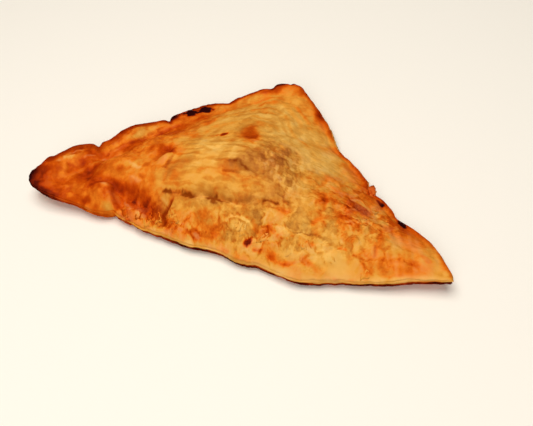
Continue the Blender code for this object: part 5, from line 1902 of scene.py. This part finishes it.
@dataclass
class LooseFlakes:
    """Thin curved flakes that stand on the crust by their root, as one joined mesh.

    A flake is a leaf over two parameters: u from 0 at its root to 1 at its free end, and v
    from -1 to 1 across it. It follows the skin under it, and its free end lifts off by
    lift * u^2.
    """

    crust: Crust
    fields: tuple[FlakeField, ...] = (
        FlakeField((-38.0, -6.0), (-20.0, -3.6), 8, 0.12, 0.05, -1.6, 2.6),
        FlakeField((-20.0, -7.0), (-12.0, -4.0), 5, 0.12, 0.03, -1.6, 2.6),
        FlakeField((-10.0, -7.5), (58.0, -2.0), 16, 0.10, 0.02, -1.6, 3.0),
        FlakeField((38.0, 8.0), (58.0, 24.0), 14, 0.24, 0.05),
        FlakeField((48.0, 31.6), (48.8, 32.4), 2, 1.4, 0.02, 2.2, 0.6),
    )
    along_steps: int = 5
    across_steps: int = 4
    length: float = 2.4
    width: float = 1.7
    thickness: float = 0.08
    root_depth: float = 0.12

    def spots(self) -> tuple[Array, ...]:
        """Where the flakes stand.

        Returns:
            Their plan places, spread at random over each stretch, and each one's lift, how much
            paler it is, and the direction that it points in.
        """
        places, lifts, paler, turns = [], [], [], []
        for stretch in self.fields:
            step = np.arange(stretch.count)
            own = np.full(stretch.count, len(places))
            spread = np.stack((hashed(step, own, 1693), hashed(step, own, 1697)), axis=1)
            low, high = np.array(stretch.low), np.array(stretch.high)
            places.append(low + (high - low) * spread)
            lifts.append(np.full(stretch.count, stretch.lift))
            paler.append(np.full(stretch.count, stretch.paler))
            turns.append(stretch.turn + stretch.spread * (hashed(step, own, 1709) - 0.5))
        return tuple(np.concatenate(found) for found in (places, lifts, paler, turns))

    def skin_under(self, places: Array, top: Array) -> Array:
        """Number of the top's point nearest to each plan place, found flake by flake.

        Args:
            places: plan places, one block of rows for each flake.
            top: points of the top.

        Returns:
            One number for each place.
        """
        found = []
        for block in places:
            middle = block.mean(axis=0)
            close = np.flatnonzero(np.abs(top[:, :2] - middle).max(axis=1) < 4.5)
            far = np.linalg.norm(top[close, None, :2] - block[None], axis=2)
            found.append(close[far.argmin(axis=0)])
        return np.stack(found)

    def build(self) -> bpy.types.Object:
        """Builds all flakes and dresses them.

        Returns:
            The flakes' object.
        """
        spots, lifts, paler, turns = self.spots()
        spots = spots + np.array(self.crust.plan_shift)
        count, number, none = len(spots), np.arange(len(spots)), np.zeros(len(spots))
        u = np.linspace(0.0, 1.0, self.along_steps)[None, :, None]
        v = np.linspace(-1.0, 1.0, self.across_steps)[None, None, :]
        size = 0.6 + 0.9 * hashed(number, none, 1701)[:, None, None]
        turn = turns[:, None, None]
        flake, row, _ = np.broadcast_arrays(number[:, None, None], u, v)
        ragged = 1.0 + 0.6 * (hashed(flake, np.round(row * 4.0), 1721) - 0.5)
        half = 0.5 * self.width * size * ragged * (0.75 + 0.25 * np.sin(np.pi * (0.1 + 0.8 * u)))
        reach = self.length * size * (u - 0.35) * (1.0 + 0.15 * np.cos(2.0 * v + 3.0 * turn))
        x = spots[:, 0, None, None] + reach * np.cos(turn) - half * v * np.sin(turn)
        y = spots[:, 1, None, None] + reach * np.sin(turn) + half * v * np.cos(turn)
        places = np.stack((x, y), axis=-1).reshape(count, -1, 2)
        top = self.crust.points[:self.crust.top_count]
        under = self.skin_under(places, top)
        normals = normals_of(self.crust.points, self.crust.faces)[under]
        lift = lifts[:, None, None] * size * u**2 + 0.12 * size * v**2 - self.root_depth
        lift = np.broadcast_to(lift, x.shape).reshape(count, -1, 1)
        upper = np.concatenate((places, top[under][..., 2:]), axis=-1) + normals * lift
        lower = upper - normals * self.thickness
        points = np.concatenate((upper, lower), axis=1).reshape(-1, 3)
        faces = self.leaf_faces()
        faces = faces[None] + (number * 2 * self.along_steps * self.across_steps)[:, None, None]
        baked = self.crust.baked[under] - paler[:, None]
        baked = baked + 0.10 * (hashed(number, none, 1733)[:, None] - 0.5)
        tips = np.broadcast_to(0.10 * u**2, x.shape).reshape(count, -1)
        baked = np.clip(np.concatenate((baked + tips, baked + tips), axis=1), 0.0, 1.0)
        tone = np.repeat(hashed(number, none, 1741) - 0.3, baked.shape[1])
        flat = np.zeros(baked.size)
        flakes = make_mesh("loose_flakes", points * MM, faces.reshape(-1, 4),
                           {"baked": baked.ravel(), "filling": flat, "tone": tone,
                            "gloss": flat + 0.25, "flaky": flat + 0.3, "streaky": flat})
        flakes.data.materials.append(CrustFinish(name="loose_flake_skin").material())
        return flakes

    def leaf_faces(self) -> Array:
        """Faces of one flake.

        Returns:
            Its upper side, its lower side and the edge between them, four numbers a face.
        """
        u, v = self.along_steps, self.across_steps
        grid = np.arange(u * v).reshape(u, v)
        upper = np.stack((grid[:-1, :-1], grid[1:, :-1], grid[1:, 1:], grid[:-1, 1:]), axis=-1)
        lower = upper[..., ::-1] + u * v
        rim = np.concatenate((grid[:-1, 0], grid[-1, :-1], grid[:0:-1, -1], grid[0, :0:-1]))
        rim_next = np.roll(rim, -1)
        edge = np.stack((rim, rim + u * v, rim_next + u * v, rim_next), axis=-1)
        return np.concatenate((upper.reshape(-1, 4), lower.reshape(-1, 4), edge))


# ---- Studio -------------------------------------------------------------------------------

@dataclass(frozen=True)
class Studio:
    """Plain pale floor, soft light from above and behind, and the photograph's camera."""

    floor_size: float = 4.0
    camera_place: Triple = (0.08410, -0.16344, 0.18218)
    camera_aim: Triple = (0.01649, -0.02943, 0.012)
    camera_roll: float = -7.49
    lens: float = 42.69
    sensor: float = 36.0
    clip: Pair = (0.005, 20.0)
    lamp_colour: Triple = (1.0, 0.95, 0.86)
    lamp_size: float = 0.6
    overhead_place: Triple = (-0.07, 0.0, 0.72)
    overhead_watts: float = 5.0
    fill_place: Triple = (0.12, -0.62, 0.52)
    fill_watts: float = 2.7
    sky: Colour = srgb(255, 246, 232)
    sky_strength: float = 0.10

    def build_floor(self) -> None:
        half = self.floor_size / 2.0
        corners = np.array(((-half, -half, 0.0), (half, -half, 0.0), (half, half, 0.0),
                            (-half, half, 0.0)))
        floor = make_mesh("floor", corners, np.array(((0, 1, 2, 3),)), {})
        floor.data.materials.append(FloorFinish().material())

    def build_lamp(self, name: str, place: Sequence[float], watts: float) -> None:
        """Adds one soft square lamp that points at the puff.

        Args:
            name: of the lamp.
            place: where it hangs, in metres.
            watts: its power.
        """
        data = bpy.data.lights.new(name, "AREA")
        data.shape, data.size, data.energy = "SQUARE", self.lamp_size, watts
        data.color = self.lamp_colour
        lamp = bpy.data.objects.new(name, data)
        lamp.location = place
        lamp.rotation_euler = (-Vector(place)).to_track_quat("-Z", "Y").to_euler()
        bpy.context.scene.collection.objects.link(lamp)

    def build_sky(self) -> None:
        """Sets the even pale light that comes from all round."""
        world = bpy.data.worlds.new("studio_sky")
        world.use_nodes = True
        shader = world.node_tree.nodes["Background"]
        shader.inputs["Color"].default_value = self.sky
        shader.inputs["Strength"].default_value = self.sky_strength
        bpy.context.scene.world = world

    def build_camera(self) -> None:
        """Adds the camera: aimed, then rolled about its own line of sight."""
        data = bpy.data.cameras.new("photo_camera")
        data.lens, data.sensor_width = self.lens, self.sensor
        data.clip_start, data.clip_end = self.clip
        camera = bpy.data.objects.new("photo_camera", data)
        sight = Vector(self.camera_aim) - Vector(self.camera_place)
        turned = sight.to_track_quat("-Z", "Y").to_matrix()
        turned = turned @ Matrix.Rotation(math.radians(self.camera_roll), 3, "Z")
        camera.matrix_world = Matrix.Translation(self.camera_place) @ turned.to_4x4()
        bpy.context.scene.collection.objects.link(camera)
        bpy.context.scene.camera = camera

    def build(self) -> None:
        """Builds the floor, the lamps, the sky and the camera."""
        self.build_floor()
        self.build_sky()
        self.build_lamp("overhead", self.overhead_place, self.overhead_watts)
        self.build_lamp("front_fill", self.fill_place, self.fill_watts)
        self.build_camera()
        bpy.context.scene.view_settings.view_transform = "Standard"


# ---- Hand-over ----------------------------------------------------------------------------

def hand_over(piece: bpy.types.Object) -> None:
    """Makes a piece ride on the puff's body."""
    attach(piece, BODY)


def main() -> None:
    """Builds the puff and its studio."""
    logging.basicConfig(level=logging.INFO, format="%(name)s: %(message)s")
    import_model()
    crust = Crust(PuffForm(), FineRelief(), Browning())
    skin = crust.build()
    hand_over(skin)
    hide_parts(NODE)
    LOG.info("crust: %d points, %d faces", len(skin.data.vertices), len(skin.data.polygons))
    flakes = LooseFlakes(crust).build()
    hand_over(flakes)
    LOG.info("loose flakes: %d points, %d faces", len(flakes.data.vertices),
             len(flakes.data.polygons))
    Studio().build()
    LOG.info("studio: floor, sky, two lamps and the camera")


if __name__ == "__main__":
    main()
